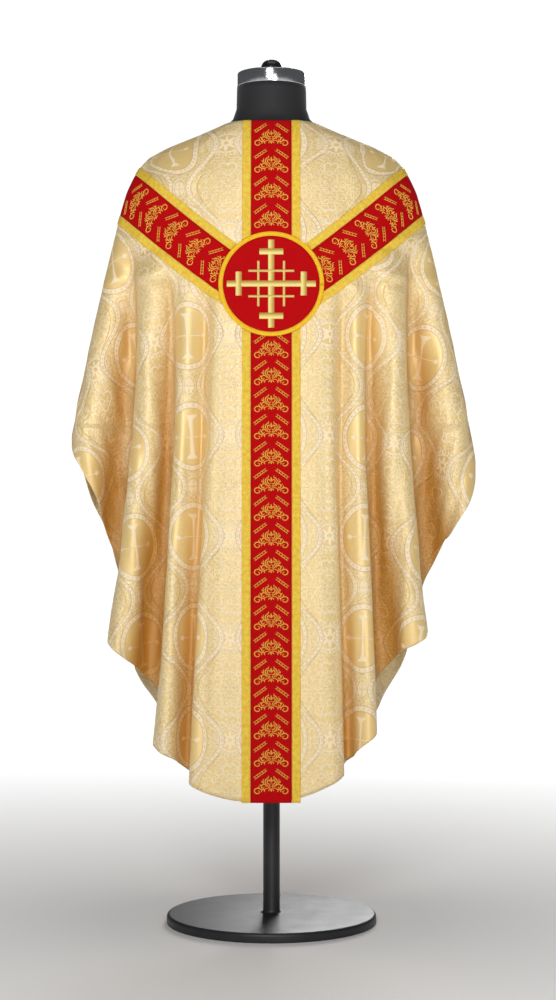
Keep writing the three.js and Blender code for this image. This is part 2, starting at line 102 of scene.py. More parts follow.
# Directions at the fold ends swing with a half cosine between them, and the point is the running
# sum of (cos, sin) of the direction times the step. One row for each height, one column for each
# mesh column; returned are x and y before they are sized, and the flat distance from the middle.
def rawSection(side, heights):
    z = np.asarray(heights, float)[:, None]
    fine = garment["fineSteps"]
    folds = side["folds"]
    opened = [np.maximum(0, f[2] - z) for f in folds]
    lengths = [f[0] + f[1] * o for f, o in zip(folds, opened)]
    total = sum(lengths)
    neck = smooth((z - garment["neck"] + garment["neckSpan"]) / garment["neckSpan"])
    low = smooth((garment["leanFrom"] - z) / garment["leanSpan"])
    angle = np.zeros_like(z)
    run = np.zeros_like(z)
    angles, steps, keep = [], [], [0]
    for f, o, length in zip(folds, opened, lengths):
        run = run + length
        lean = (f[4] * (1 - low) + f[5] * low) * (1 - neck) + 90 * (run / total) * neck
        goal = lean + np.sqrt(o / (o + garment["softness"])) * f[3]
        n = f[6] * fine
        swing = (1 - np.cos(math.pi * (np.arange(n) + 0.5) / n)) / 2
        angles.append(angle + (goal - angle) * swing)
        steps.append(np.repeat(length / n, n, axis=1))
        keep += [keep[-1] + fine * (i + 1) for i in range(f[6])]
        angle = goal
    turn = np.radians(np.hstack(angles))
    step = np.hstack(steps)
    start = np.zeros_like(z)
    x = np.hstack([start, np.cumsum(np.cos(turn) * step, axis=1)])[:, keep]
    y = np.hstack([start, np.cumsum(np.sin(turn) * step, axis=1)])[:, keep]
    flat = np.hstack([start, np.cumsum(step, axis=1)])[:, keep]
    return x, y, flat


# Sized section: outside the stiff middle the width is stretched to the outline, the depth to the
# depth table; below the wrist the free side stays no further out than the wrist.
def sizedSection(side, heights):
    z = np.asarray(heights, float)
    x, y, flat = rawSection(side, z)
    wristX, wristY, _ = rawSection(side, np.maximum(z, side["seamEnd"]))
    wristZ = np.maximum(z, side["seamEnd"])
    half = garment["flatHalf"]
    depths = garment["backDepth"] if side["facing"] < 0 else garment["frontDepth"]
    width = along(garment["outline"], wristZ)[:, None]
    depth = along(depths, z)[:, None]
    scaleX = (width - half) / (wristX[:, -1:] - half)
    scaleY = along(depths, wristZ)[:, None] / wristY[:, -1:]
    scaled = lambda v: np.where(v > half, half + (v - half) * scaleX, v)
    reach = x / x[:, -1:]
    across = scaled(x) - (scaled(x[:, -1:]) - width) * reach ** 5
    out = depth - y * scaleY + (y[:, -1:] * scaleY - depth) * reach * reach
    return side["hand"] * across, side["facing"] * out, flat


levels = np.arange(*garment["levels"])


# Heights of the mesh rows on every column: level down to the waist, then a share of the way to
# the hem, which rises from fold to fold
def rowHeights(side):
    hems, shares, before, run = [side["hemCentre"]], [0.0], side["hemCentre"], 0.0
    whole = sum(f[0] for f in side["folds"])
    for f in side["folds"]:
        share = (np.arange(f[6]) + 1) / f[6]
        hems += list(before + (f[7] - before) * share ** f[8])
        shares += list((run + f[0] * share) / whole)
        before, run = f[7], run + f[0]
    hem, out = np.array(hems), np.array(shares)
    neck = garment["neck"] - side["neckDip"] * np.cos(out * math.pi / 2) ** 4
    upper = np.linspace(garment["neck"], garment["waist"], garment["upperRows"])[:, None]
    span = (neck - garment["yoke"]) / (garment["neck"] - garment["yoke"])
    upper = np.where(upper > garment["yoke"], garment["yoke"] + span * (upper - garment["yoke"]), upper)
    share = (np.arange(garment["lowerRows"]) + 1)[:, None] / garment["lowerRows"]
    lower = garment["waist"] - (garment["waist"] - hem) * share
    return np.vstack([upper, lower])


# Values of a table (one row for each level, one column for each mesh column) at given heights
def atHeights(table, z):
    place = np.clip((z - levels[0]) / (levels[1] - levels[0]), 0, len(levels) - 1.001)
    low = place.astype(int)
    share = place - low
    column = np.broadcast_to(np.arange(table.shape[1]), z.shape)
    return table[low, column] * (1 - share) + table[low + 1, column] * share


# Outward normal of a grid: cross product of its two directions of change
def gridNormals(points, facing):
    down = np.gradient(points, axis=0)
    across = np.gradient(points, axis=1)
    normal = np.cross(down, across) * -facing
    return normal / np.maximum(np.linalg.norm(normal, axis=2, keepdims=True), 1e-9)


ripples = {
    "waves": ((74, 1.5), (47, 1.0), (29, 0.45)),  # length across the cloth and height of each
    "phase": 6.28,
    "drift": 0.0022,  # most turns a ripple moves aside for each millimetre of height
    "bend": (0.4, 0.9),
    "bendLength": (150, 260),
    "drag": (0.9, 21.0),
    "dragRange": (1150, 1470, 120),  # lowest and highest reach, and how gently it fades there
    "freeFrom": (66, 60),  # distance from the middle where ripples begin, and their fade
    "seamSpan": 40,
    "lowFrom": (1330, 500),
    "highShare": 0.25,  # strength left at the shoulders
}


# Small folds of the cloth itself: long soft ripples down the panel and a few slanted drags, as a
# distance along the normal, zero on the stiff middle, at the neckline and at the side seam
def ripple(across, z, flat, whole, seed):
    rng = np.random.default_rng(seed)
    begin, span = ripples["freeFrom"]
    free = smooth((np.abs(across) - begin) / span) * smooth((whole - flat) / ripples["seamSpan"])
    top, fall = ripples["lowFrom"]
    low = smooth((top - z) / fall)
    turn = ripples["phase"]
    out = np.zeros_like(z)
    for wave, height in ripples["waves"]:
        phase = rng.uniform(0, turn)
        drift = rng.uniform(-ripples["drift"], ripples["drift"])
        bend = rng.uniform(*ripples["bend"]) * np.sin(z / rng.uniform(*ripples["bendLength"]) + phase)
        out += height * np.sin(flat * 2 * math.pi / wave + z * drift * turn + bend + phase)
    height, wave = ripples["drag"]
    lowest, highest, edge = ripples["dragRange"]
    drag = height * np.sin((flat * 0.6 + z * 0.8) / wave + rng.uniform(0, turn))
    drag *= smooth((z - lowest) / edge) * smooth((highest - z) / edge)
    return (out * (ripples["highShare"] + low) + drag) * free


# Whole panel: its left half mirrored in order, joined to its right half at the middle column, with
# the ripples added along the normals. The side edges' normals stay level with the seam.
def panelGrid(left, right, seed):
    halves = []
    for side in (left, right):
        x, y, flat = sizedSection(side, levels)
        z = rowHeights(side)
        point = np.stack([atHeights(x, z), atHeights(y, z), z], axis=2)
        point[:, -1, 1] = side["facing"] * garment["seamHalf"]
        halves.append((point, atHeights(flat, z) * side["hand"]))
    (leftPoint, leftFlat), (rightPoint, rightFlat) = halves
    points = np.concatenate([leftPoint[:, ::-1], rightPoint[:, 1:]], axis=1)
    flat = np.concatenate([leftFlat[:, ::-1], rightFlat[:, 1:]], axis=1)
    whole = np.abs(flat[:, :1]) * (flat < 0) + np.abs(flat[:, -1:]) * (flat >= 0)
    lift = ripple(points[:, :, 0], points[:, :, 2], np.abs(flat), whole, seed)
    points = points + gridNormals(points, left["facing"]) * lift[:, :, None]
    normals = gridNormals(points, left["facing"])
    for edge in (0, -1):
        normals[:, edge, 1] = 0
        normals[:, edge] /= np.linalg.norm(normals[:, edge], axis=1, keepdims=True)
    return {"points": points, "normals": normals, "flat": flat, "facing": left["facing"]}


# Mesh of points given in millimetres, with its flat cut as the UV map, and its CAD nodes hidden
def newPiece(name, points, faces, nodes, material, uv=None):
    mesh = bpy.data.meshes.new(name)
    mesh.from_pydata((np.asarray(points) * mm).tolist(), [], faces)
    mesh.update()
    if uv is not None:
        layer = mesh.uv_layers.new(name="cut")
        corner = np.empty(len(mesh.loops), np.int32)
        mesh.loops.foreach_get("vertex_index", corner)
        layer.data.foreach_set("uv", np.asarray(uv, np.float32)[corner].ravel())
    mesh.polygons.foreach_set("use_smooth", np.full(len(mesh.polygons), True))
    piece = bpy.data.objects.new(name, mesh)
    bpy.context.scene.collection.objects.link(piece)
    mesh.materials.append(material)
    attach(piece, "root")
    if nodes:
        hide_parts(*nodes)
    return piece


# Four-sided faces of a grid whose points are numbered row by row
def quadGrid(rows, columns, start, flip):
    index = start + np.arange(rows * columns).reshape(rows, columns)
    corners = [index[:-1, :-1], index[1:, :-1], index[1:, 1:], index[:-1, 1:]]
    quads = np.stack(corners, axis=2).reshape(-1, 4)
    return quads[:, ::-1] if flip else quads


# Four-sided faces of a tube: every row of the index grid closes on itself
def tubeQuads(index):
    after = np.roll(index, -1, axis=1)
    return np.stack([index[:-1], after[:-1], after[1:], index[1:]], axis=2).reshape(-1, 4).tolist()


# Skin over rings of points, with a pole under the first ring and one over the last
def skinOverRings(rings, low, high):
    count, sides = rings.shape[:2]
    points = np.concatenate([[[0, 0, low]], rings.reshape(-1, 3), [[0, 0, high]]])
    index = 1 + np.arange(count * sides).reshape(count, sides)
    after = np.roll(index, -1, axis=1)
    last = len(points) - 1
    faces = tubeQuads(index)
    faces += [[0, b, a] for a, b in zip(index[0].tolist(), after[0].tolist())]
    faces += [[last, a, b] for a, b in zip(index[-1].tolist(), after[-1].tolist())]
    return points, faces


# Closed shell: the outer grid is P + outer·N, the inner one P + inner·N, joined round the edge.
# Where facing is above 0 the faces are wound the other way, so that they still point outwards.
def shell(points, normals, inner, outer, facing):
    rows, columns = points.shape[:2]
    front = points + normals * np.broadcast_to(outer, (rows, columns))[..., None]
    rear = points + normals * inner
    count = rows * columns
    flip = facing > 0
    faces = [quadGrid(rows, columns, 0, flip), quadGrid(rows, columns, count, not flip)]
    index = np.arange(count).reshape(rows, columns)
    rim = np.concatenate([index[0, :-1], index[:-1, -1], index[-1, :0:-1], index[:0:-1, 0]])
    after = np.roll(rim, -1)
    edge = np.stack([rim, after, after + count, rim + count], axis=1)
    faces.append(edge[:, ::-1] if flip else edge)
    both = np.concatenate([front.reshape(-1, 3), rear.reshape(-1, 3)])
    return both, np.concatenate(faces).tolist()


# Colour as seen on a screen, turned to the linear values of a shader
def tone(red, green, blue):
    value = np.array([red, green, blue]) / 255
    linear = np.where(value <= 0.04045, value / 12.92, ((value + 0.055) / 1.055) ** 2.4)
    return (*linear.tolist(), 1.0)


# A number on its way through a material's nodes, so that a pattern is written as arithmetic
class Number:
    def __init__(self, tree, socket):
        self.tree, self.socket = tree, socket

    def by(self, operation, *others, clamp=False):
        node = self.tree.nodes.new("ShaderNodeMath")
        node.operation = operation
        node.use_clamp = clamp
        for place, value in enumerate((self, *others)):
            if isinstance(value, Number):
                self.tree.links.new(value.socket, node.inputs[place])
            else:
                node.inputs[place].default_value = value
        return Number(self.tree, node.outputs[0])

    def __add__(self, other):
        return self.by("ADD", other)

    def __sub__(self, other):
        return self.by("SUBTRACT", other)

    def __mul__(self, other):
        return self.by("MULTIPLY", other)

    def __truediv__(self, other):
        return self.by("DIVIDE", other)

    def size(self):
        return self.by("ABSOLUTE")

    def sine(self):
        return self.by("SINE")

    def cosine(self):
        return self.by("COSINE")

    def root(self):
        return self.by("SQRT")

    def angle(self, other):  # angle of the point (other, self)
        return self.by("ARCTAN2", other)

    def clamped(self):
        return self.by("MULTIPLY", 1, clamp=True)

    def folded(self, half):  # distance to the nearest of the lines 2·half apart
        return self.by("PINGPONG", half)

    def below(self, edge, soft):  # 1 under the edge, 0 over it
        return ((self - edge) * (-0.5 / soft) + 0.5).clamped()

    def line(self, centre, half, soft):  # 1 within half of the centre
        return (self - centre).size().below(half, soft)

    def either(self, other):
        return self.by("MAXIMUM", other)

    def within(self, other):
        return self.by("MINIMUM", other)

    def outside(self):
        return self * -1 + 1


def distance(x, y):
    return (x * x + y * y).root()


# Material of one finish: patterns in, colour, roughness and height out
class Finish:
    def __init__(self, name):
        self.material = bpy.data.materials.new(name)
        self.material.use_nodes = True
        self.tree = self.material.node_tree
        self.shader = self.tree.nodes["Principled BSDF"]

    def node(self, kind, **values):
        made = self.tree.nodes.new("ShaderNode" + kind)
        for key, value in values.items():
            setattr(made, key, value)
        return made

    def feed(self, socket, value):
        if isinstance(value, Number):
            value = value.socket
        if isinstance(value, bpy.types.NodeSocket):
            self.tree.links.new(value, socket)
        else:
            socket.default_value = value

    def cut(self):  # millimetres on the flat cloth
        split = self.node("SeparateXYZ")
        self.feed(split.inputs[0], self.node("UVMap", uv_map="cut").outputs[0])
        return Number(self.tree, split.outputs[0]) * 1000, Number(self.tree, split.outputs[1]) * 1000

    def place(self):  # millimetres in the object
        split = self.node("SeparateXYZ")
        self.feed(split.inputs[0], self.node("TexCoord").outputs["Object"])
        return [Number(self.tree, split.outputs[i]) * 1000 for i in range(3)]

    def joined(self, x, y, z=0.0):
        made = self.node("CombineXYZ")
        for place, value in enumerate((x, y, z)):
            self.feed(made.inputs[place], value)
        return made.outputs[0]

    def noise(self, vector, scale, detail=2.0, rough=0.5):
        made = self.node("TexNoise")
        self.feed(made.inputs["Vector"], vector)
        made.inputs["Scale"].default_value = scale
        made.inputs["Detail"].default_value = detail
        made.inputs["Roughness"].default_value = rough
        return Number(self.tree, made.outputs["Fac"])

    def cells(self, vector, scale, feature="F1"):
        made = self.node("TexVoronoi", feature=feature)
        self.feed(made.inputs["Vector"], vector)
        made.inputs["Scale"].default_value = scale
        return Number(self.tree, made.outputs["Distance"])

    def mixed(self, share, first, second, blend="MIX"):
        made = self.node("Mix", data_type="RGBA", blend_type=blend)
        self.feed(made.inputs[0], share)
        self.feed(made.inputs[6], first)
        self.feed(made.inputs[7], second)
        return made.outputs[2]

    def finished(self, color, roughness, height=None, lift=0.4, metallic=None, sheen=0.0,
                 sheenTone=None, coat=0.0):
        inputs = self.shader.inputs
        self.feed(inputs["Base Color"], color)
        self.feed(inputs["Roughness"], roughness)
        if metallic is not None:
            inputs["Metallic"].default_value = metallic
        inputs["Sheen Weight"].default_value = sheen
        inputs["Sheen Roughness"].default_value = 0.4
        inputs["Coat Weight"].default_value = coat
        inputs["Coat Roughness"].default_value = 0.15
        if sheenTone:
            inputs["Sheen Tint"].default_value = sheenTone
        if height is not None:
            bump = self.node("Bump")
            bump.inputs["Strength"].default_value = 1.0
            bump.inputs["Distance"].default_value = lift * mm
            self.feed(bump.inputs["Height"], height)
            self.feed(inputs["Normal"], bump.outputs[0])
        return self.material


# Damask figure, in millimetres on the flat cloth: an oval of plain satin with a slim cross, in a
# dotted ring; ogee ribbons round it; small ovals above and below; rosettes at its two sides;
# hearts in the lozenges between the rosettes; and fine mirrored scrolls and flecks on the ground
brocadeLook = {
    "half": (90.0, 92.5),  # half the pitch across and along
    "row": 913.0,  # height of one row of ovals on the cut
    "oval": (42.0, 53.0),
    "ring": 8.0,
    "ringDots": (36, 1.26),  # count, and how much the angle is squashed with the oval
    "cross": (42.0, 30.0),  # half height and half breadth
    "flare": 9.0,
    "knob": 4.2,
    "ribbon": (46.0, 30.0, 4.2),  # middle, swing and half width
    "ribbonShadow": (9.0, 6.0),  # how far its thin line lies outside it, and swings less
    "smallOval": (9.5, 16.0),
    "petals": (8, 12.5, 5.2),  # count, mean radius and swing
    "eye": 3.6,
    "halo": (20.5, 1.5),
    "rays": (28, 25.0, 3.6),  # count, radius and half length
    "heart": (33.0, 12.5),  # distance from the lozenge's middle, and radius
    "knot": (5.0, 9.0),
    "scroll": (15.0, 15.4),
    "rib": 1.9,
    "satin": (243, 210, 138),
    "ground": (238, 206, 138),
    "pale": (252, 233, 188),
    "cream": (253, 232, 192),
    "fleck": (228, 176, 74),
    "outline": (158, 116, 52),
    # bright flecks: partly the gold thread's own colour, partly a painted glint
    "threadGlint": (255, 226, 112),
    # painted shade: the deeper gold that the fold troughs are multiplied towards
    "depth": (208, 168, 94),
    "sheen": (255, 232, 180),
}


def brocadeMaterial():
    look = brocadeLook
    cloth = Finish("brocade")
    u, v = cloth.cut()
    halfX, halfY = look["half"]
    vector = cloth.joined(u, v)
    waver = cloth.noise(vector, 0.04, 2) * 2.0 - 1.0
    x = (u + waver).folded(halfX)
    y = (v - look["row"] + waver).folded(halfY)
    # the oval's size is 1 on the satin's edge
    a, b = look["oval"]
    oval = distance(x / a, y / b)
    satin = oval.below(1.0, 0.02)
    wide = look["ring"] / a
    ring = oval.line(1 + wide / 2, wide / 2, 0.02)
    count, squash = look["ringDots"]
    dots = (y.angle(x * squash) * count).sine().line(1, 0.7, 0.3)
    dots = dots.within(oval.line(1 + wide / 2, wide * 0.16, 0.03))
    rims = oval.line(1.0, 0.02, 0.014).either(oval.line(1 + wide, 0.02, 0.014))
    # cross: an upright that swells to its flared ends, a thin beam with knobbed ends
    tall, broad = look["cross"]
    swell = (y - (tall - look["flare"])).by("MAXIMUM", 0) * 0.85
    upright = x.below(y * 0.05 + 1.5 + swell, 0.8).within(y.below(tall, 0.8))
    knobs = distance(x - broad, y).below(look["knob"], 0.8)
    cross = upright.either(y.below(0.9, 0.5).within(x.below(broad, 0.8))).either(knobs)
    # ogee ribbons with a thin line outside them
    middle, swing, half = look["ribbon"]
    away, less = look["ribbonShadow"]
    wave = (y * (math.pi / halfY)).cosine()
    ogee = (x - (wave * swing + middle)).size()
    outerOgee = (x - (wave * (swing - less) + middle + away)).size()
    ribbon = ogee.below(half, 0.7).within(ring.either(satin).outside())
    beads = (y * 0.9).sine().line(1, 0.7, 0.3).within(ogee.below(half * 0.35, 0.6))
    ribbonRims = ogee.line(half, 0.8, 0.5).either(outerOgee.below(0.8, 0.5))
    # small oval with a cross between the large ones
    sy = y - halfY
    a, b = look["smallOval"]
    small = distance(x / a, sy / b)
    smallCross = x.line(0, 1.1, 0.6).either(sy.line(0, 1.1, 0.6)).outside()
    smallCross = smallCross.within(small.below(0.86, 0.06))
    smallRim = small.line(1.15, 0.06, 0.05)
    # rosette: petals in a circle, fine rays outside it
    rx = x - halfX
    radius = distance(rx, y)
    spin = y.angle(rx)
    count, mean, reach = look["petals"]
    petals = (radius - ((spin * count).cosine() * reach + mean)).below(0, 0.8)
    petals = petals.within(radius.below(look["eye"], 0.5).outside())
    around, width = look["halo"]
    halo = radius.line(around, width, 0.5)
    disc = radius.below(around - 0.5, 0.6)
    count, around, width = look["rays"]
    rays = (spin * count).cosine().line(1, 0.8, 0.3).within(radius.line(around, width, 0.5))
    # hearts above and below the lozenge's middle, and a knot of loops in it
    up, wide = look["heart"]
    cleft = sy.size() - up - rx.size() * 0.62
    heart = (distance(rx, cleft) - wide).size().below(1.2, 0.5)
    least, reach = look["knot"]
    loops = (sy.angle(rx) * 4).cosine().size() * reach + least
    knot = (distance(rx, sy) - loops).size().below(1.0, 0.5)
    # mirrored scrolls and leaves on the ground
    broad, tall = look["scroll"]
    fx = u.folded(broad) - broad / 2
    fy = v.folded(tall) - tall / 2
    scroll = (fy.angle(fx) + distance(fx, fy) * 0.8).cosine().line(1, 0.35, 0.2)
    leaf = cloth.cells(cloth.joined(x, y), 0.062, "DISTANCE_TO_EDGE").line(0.2, 0.035, 0.025)
    ground = satin.either(ring).either(ribbon).either(disc).outside()
    lines = scroll.either(leaf).within(ground)
    figure = cross.either(ring).either(ribbon).either(petals).either(halo).either(rays.within(ground))
    figure = figure.either(heart.either(knot).within(ground)).either(smallCross).either(smallRim)
    edges = rims.either(ribbonRims.within(satin.outside())).either(dots).either(beads)
    # threads: fine cross ribs, uneven threads, flecks of light and dark gold on the ground, and bright flecks
    # that are gold thread painted with its glint
    ribs = (v * (2 * math.pi / look["rib"])).sine()
    slub = cloth.noise(cloth.joined(u * 0.12, v * 1.1), 1.0, 3, 0.7)
    light = cloth.noise(vector, 0.34, 3, 0.7).below(0.44, 0.04)
    dark = cloth.noise(cloth.joined(v, u), 0.42, 3, 0.7).below(0.40, 0.04)
    # painted glint: bright gold-thread flecks, fixed in the colour
    threadGlint = cloth.noise(cloth.joined(u * 1.6, v), 0.3, 2, 0.6).below(0.37, 0.03)
    fade = cloth.noise(vector, 0.006, 2)
    color = cloth.mixed(satin, tone(*look["ground"]), tone(*look["satin"]))
    for share, name in (
        (light.within(ground) * 0.75, "pale"),
        (dark.within(ground) * 0.55, "fleck"),
        (lines * 0.75, "pale"),
        (threadGlint.within(ground) * 0.7, "threadGlint"),
        (figure * 0.95, "cream"),
        (edges * (fade * 0.8 - 0.08), "outline"),
        (slub.line(0.5, 0.08, 0.06) * 0.12, "outline"),
    ):
        color = cloth.mixed(share, color, tone(*look[name]))
    # painted shade in the troughs of the folds: the colour is multiplied towards a deeper gold there,
    # standing in for the shade and for the gold light the cloth throws back on itself
    deep = cloth.node("Attribute", attribute_name="troughShade").outputs["Fac"]
    color = cloth.mixed(deep, color, tone(*look["depth"]), "MULTIPLY")
    rough = satin * 0.04 + 0.42 + figure * 0.14 + light * 0.05
    height = figure * 0.8 + lines * 0.55 - edges * 0.6 + light * ground * 0.35 - dark * ground * 0.3
    height = height + ribs * 0.05 + slub * 0.25
    cloth.feed(cloth.shader.inputs["Metallic"], satin * 0.02 + 0.2 - figure * 0.18)
    cloth.shader.inputs["IOR"].default_value = 1.8
    return cloth.finished(color, rough, height, 0.45, sheen=0.28, sheenTone=tone(*look["sheen"]))


def redMaterial():
    cloth = Finish("orphreyRed")
    u, v = cloth.cut()
    rib = (v * (2 * math.pi / 1.6)).sine()
    thread = cloth.noise(cloth.joined(u * 0.1, v * 1.4), 1.0, 3, 0.7)
    worn = cloth.noise(cloth.joined(u, v), 0.03, 3)
    color = cloth.mixed(thread, tone(160, 0, 6), tone(206, 4, 10))
    color = cloth.mixed(worn.line(0.5, 0.1, 0.1) * 0.2, color, tone(182, 14, 20))
    cloth.shader.inputs["Specular IOR Level"].default_value = 0.08
    return cloth.finished(color, thread * 0.15 + 0.7, rib * 0.4 + thread * 0.6, 0.3,
                          sheen=0.03, sheenTone=tone(255, 40, 40))


# Galloon and border braid: crossed slanted threads with a grain of bright and dark turns
def braidMaterial(name, light, dark, pitch):
    braid = Finish(name)
    u, v = braid.cut()
    plait = ((u + v) * (math.pi / pitch)).sine() * ((u - v) * (math.pi / pitch)).sine()
    grain = braid.noise(braid.joined(u, v), 0.55, 4, 0.7)
    cloud = braid.noise(braid.joined(u, v), 0.12, 3, 0.6)
    share = grain * 1.6 + cloud * 1.4 - 0.95 + plait * 0.2
    color = braid.mixed(share.clamped(), tone(*dark), tone(*light))
    return braid.finished(color, grain * 0.3 + 0.35, plait * 0.6 + grain * 0.6, 0.7,
                          metallic=0.15, sheen=0.1, sheenTone=tone(*light))


# Gold thread; the last argument is how much paler one long side of a padded bar is painted than the other, as
# painted light on one side and painted shade on the other
def goldMaterial(name, light, dark, pitch, paintedSideShade=0.0):
    gold = Finish(name)
    u, v = gold.cut()
    stitch = (u * (2 * math.pi / pitch) + gold.noise(gold.joined(u, v), 0.3, 2) * 3).sine()
    grain = gold.noise(gold.joined(u, v), 0.9, 3, 0.7)
    # painted light and shade: one long side of each bar is paler and the other darker, as if lit from one
    # side
    side = (v * 0.16 + 0.5).clamped() * paintedSideShade
    share = (grain * 2 - 0.45 + stitch * 0.2) * (1 - paintedSideShade) + side
    color = gold.mixed(share.clamped(), tone(*dark), tone(*light))
    return gold.finished(color, grain * 0.2 + 0.3, stitch * 0.5 + grain * 0.3, 0.35, metallic=0.15)


def coverMaterial():
    cover = Finish("formCover")
    x, y, z = cover.place()
    knit = (z * 2.4).sine() * (x * 2.2).sine()
    grain = cover.noise(cover.joined(x, y, z), 0.4, 3, 0.6)
    color = cover.mixed(grain, tone(14, 14, 16), tone(30, 30, 34))
    return cover.finished(color, grain * 0.2 + 0.62, knit * 0.3 + grain * 0.4, 0.25, sheen=0.15)


def chromeMaterial():
    metal = Finish("capMetal")
    x, y, z = metal.place()
    turned = (z * 6.0).sine() * 0.5 + 0.5
    smear = metal.noise(metal.joined(x, y, z), 0.02, 3)
    color = metal.mixed(smear, tone(206, 208, 212), tone(232, 233, 235))
    return metal.finished(color, smear * 0.10 + 0.08, turned + smear, 0.015, metallic=1.0)


def knobMaterial():
    lacquer = Finish("knob")
    smear = lacquer.noise(lacquer.joined(*lacquer.place()), 0.05, 3)
    color = lacquer.mixed(smear, tone(8, 8, 10), tone(18, 18, 20))
    return lacquer.finished(color, smear * 0.15 + 0.18, smear, 0.05, coat=0.5)


def standMaterial():
    paint = Finish("standPaint")
    vector = paint.joined(*paint.place())
    grain = paint.noise(vector, 0.5, 3, 0.6)
    scuff = paint.noise(vector, 0.02, 4, 0.6)
    color = paint.mixed(scuff, tone(34, 34, 36), tone(52, 52, 55))
    return paint.finished(color, scuff * 0.2 + 0.35, grain, 0.12, metallic=0.3)


brocade = brocadeMaterial()
orphreyRed = redMaterial()
galloon = braidMaterial("galloonBraid", (255, 234, 86), (236, 164, 22), 2.3)
borderBraid = braidMaterial("borderBraid", (255, 216, 30), (250, 176, 4), 2.6)
ornamentGold = goldMaterial("ornamentGold", (255, 220, 96), (238, 170, 36), 1.4)
# the cross's bars carry painted light along one long side and painted shade along the other
crossGold = goldMaterial("crossEmbroidery", (255, 246, 150), (182, 118, 6), 1.8, paintedSideShade=0.65)
formCover = coverMaterial()
capMetal = chromeMaterial()
knobBlack = knobMaterial()
standPaint = standMaterial()
print("materials mixed")


# Steps between the grid lines that the flat cut is worked out on, and rounds of flattening
pattern = {"rowStep": 12, "columnStep": 6, "rounds": 20}


# Every so many lines of a grid, and always the last one
def someLines(count, step):
    return np.unique(np.append(np.arange(0, count, step), count - 1))


# Mesh laid flat with the least stretch: one flat point for each vertex
def laidFlat(mesh, paper):
    bpy.context.view_layer.objects.active = paper
    paper.select_set(True)
    mesh.uv_layers.new(name="cut")
    bpy.ops.object.mode_set(mode="EDIT")
    bpy.ops.mesh.select_all(action="SELECT")
    bpy.ops.uv.unwrap(method="MINIMUM_STRETCH", iterations=pattern["rounds"])
    bpy.ops.object.mode_set(mode="OBJECT")
    corner = np.empty(len(mesh.loops), np.int32)
    mesh.loops.foreach_get("vertex_index", corner)
    loose = np.empty(len(mesh.loops) * 2, np.float32)
    mesh.uv_layers["cut"].data.foreach_get("uv", loose)
    flat = np.zeros((len(mesh.vertices), 2))
    flat[corner] = loose.reshape(-1, 2)
    return flat


# Flat cut of a panel: a coarse copy of its grid is laid flat, then turned so that the middle stands
# upright, scaled to the cloth's own area and read back on the fine grid
def flatCut(panel, name):
    points = panel["points"]
    rows = someLines(points.shape[0], pattern["rowStep"])
    columns = someLines(points.shape[1], pattern["columnStep"])
    coarse = points[np.ix_(rows, columns)] * mm
    faces = quadGrid(len(rows), len(columns), 0, panel["facing"] > 0)
    mesh = bpy.data.meshes.new(name + "Cut")
    mesh.from_pydata(coarse.reshape(-1, 3).tolist(), [], faces.tolist())
    paper = bpy.data.objects.new(name + "Cut", mesh)
    bpy.context.scene.collection.objects.link(paper)
    flat = laidFlat(mesh, paper)
    area = sum(p.area for p in mesh.polygons)
    bpy.data.objects.remove(paper)
    bpy.data.meshes.remove(mesh)
    quad = flat[faces]
    cross = np.cross(quad[:, 2] - quad[:, 0], quad[:, 3] - quad[:, 1]) / 2
    flat *= math.sqrt(area / abs(cross.sum()))
    flat = flat.reshape(len(rows), len(columns), 2)
    middle = int(np.argmin(np.abs(panel["flat"][0][columns])))
    up = flat[0, middle] - flat[-1, middle]
    up /= np.linalg.norm(up)
    right = np.array([up[1], -up[0]])
    centred = flat - flat[0, middle]
    u, v = centred @ right, centred @ up
    if u[len(rows) // 2, -1] < u[len(rows) // 2, 0]:
        u = -u
    u = u - u[:, middle:middle + 1]
    v = v + points[0, columns[middle], 2] * mm
    fineRows, fineColumns = np.arange(points.shape[0]), np.arange(points.shape[1])
    out = []
    for values in (u, v):
        wide = np.stack([np.interp(fineColumns, columns, row) for row in values])
        out.append(np.stack([np.interp(fineRows, rows, column) for column in wide.T], axis=1))
    return np.stack(out, axis=2), area


# Columns of the mesh that count as the body's slope and as the ridges beside a point, then the
# depth in millimetres where a trough's painted shade begins and the depth over which it deepens to full
troughs = {"slope": 26, "ridge": 9, "from": 14, "over": 34}


# Values of each row in a window of columns round every column
def rowWindows(values, reach):
    padded = np.pad(values, ((0, 0), (reach, reach)), mode="edge")
    return np.lib.stride_tricks.sliding_window_view(padded, 2 * reach + 1, axis=1)


# How deep a point lies between the ridges beside it, as a share: its reach outwards less the mean
# of a wide window is its own standing, and the most of that in a narrow window is the ridge's.
# The share is how much painted shade the brocade puts into the trough there.
def troughShade(panel):
    out = panel["points"][:, :, 1] * panel["facing"]
    standing = out - rowWindows(out, troughs["slope"]).mean(axis=2)
    ridge = rowWindows(standing, troughs["ridge"]).max(axis=2)
    return np.clip((ridge - standing - troughs["from"]) / troughs["over"], 0, 1)


# Panel cloth: both faces of the wall from one grid, with the flat cut and the fold depth on it;
# the fold depth sets the painted shade in the brocade's troughs
def addPanel(name, left, right, node, seed):
    panel = panelGrid(left, right, seed)
    cut, area = flatCut(panel, name)
    half = garment["wall"] / 2
    points, faces = shell(panel["points"], panel["normals"], -half, half, panel["facing"])
    flat = cut.reshape(-1, 2)
    piece = newPiece(name, points, faces, [node], brocade, np.concatenate([flat, flat]))
    depth = piece.data.attributes.new("troughShade", "FLOAT", "POINT")
    depth.data.foreach_set("value", np.tile(troughShade(panel).ravel(), 2).astype(np.float32))
    size = np.round(flat.max(0) - flat.min(0), 3).tolist()
    print(name, "cut", size, "area", round(area, 3), "faces", len(faces))
    panel["area"], panel["piece"] = area, piece
    return panel


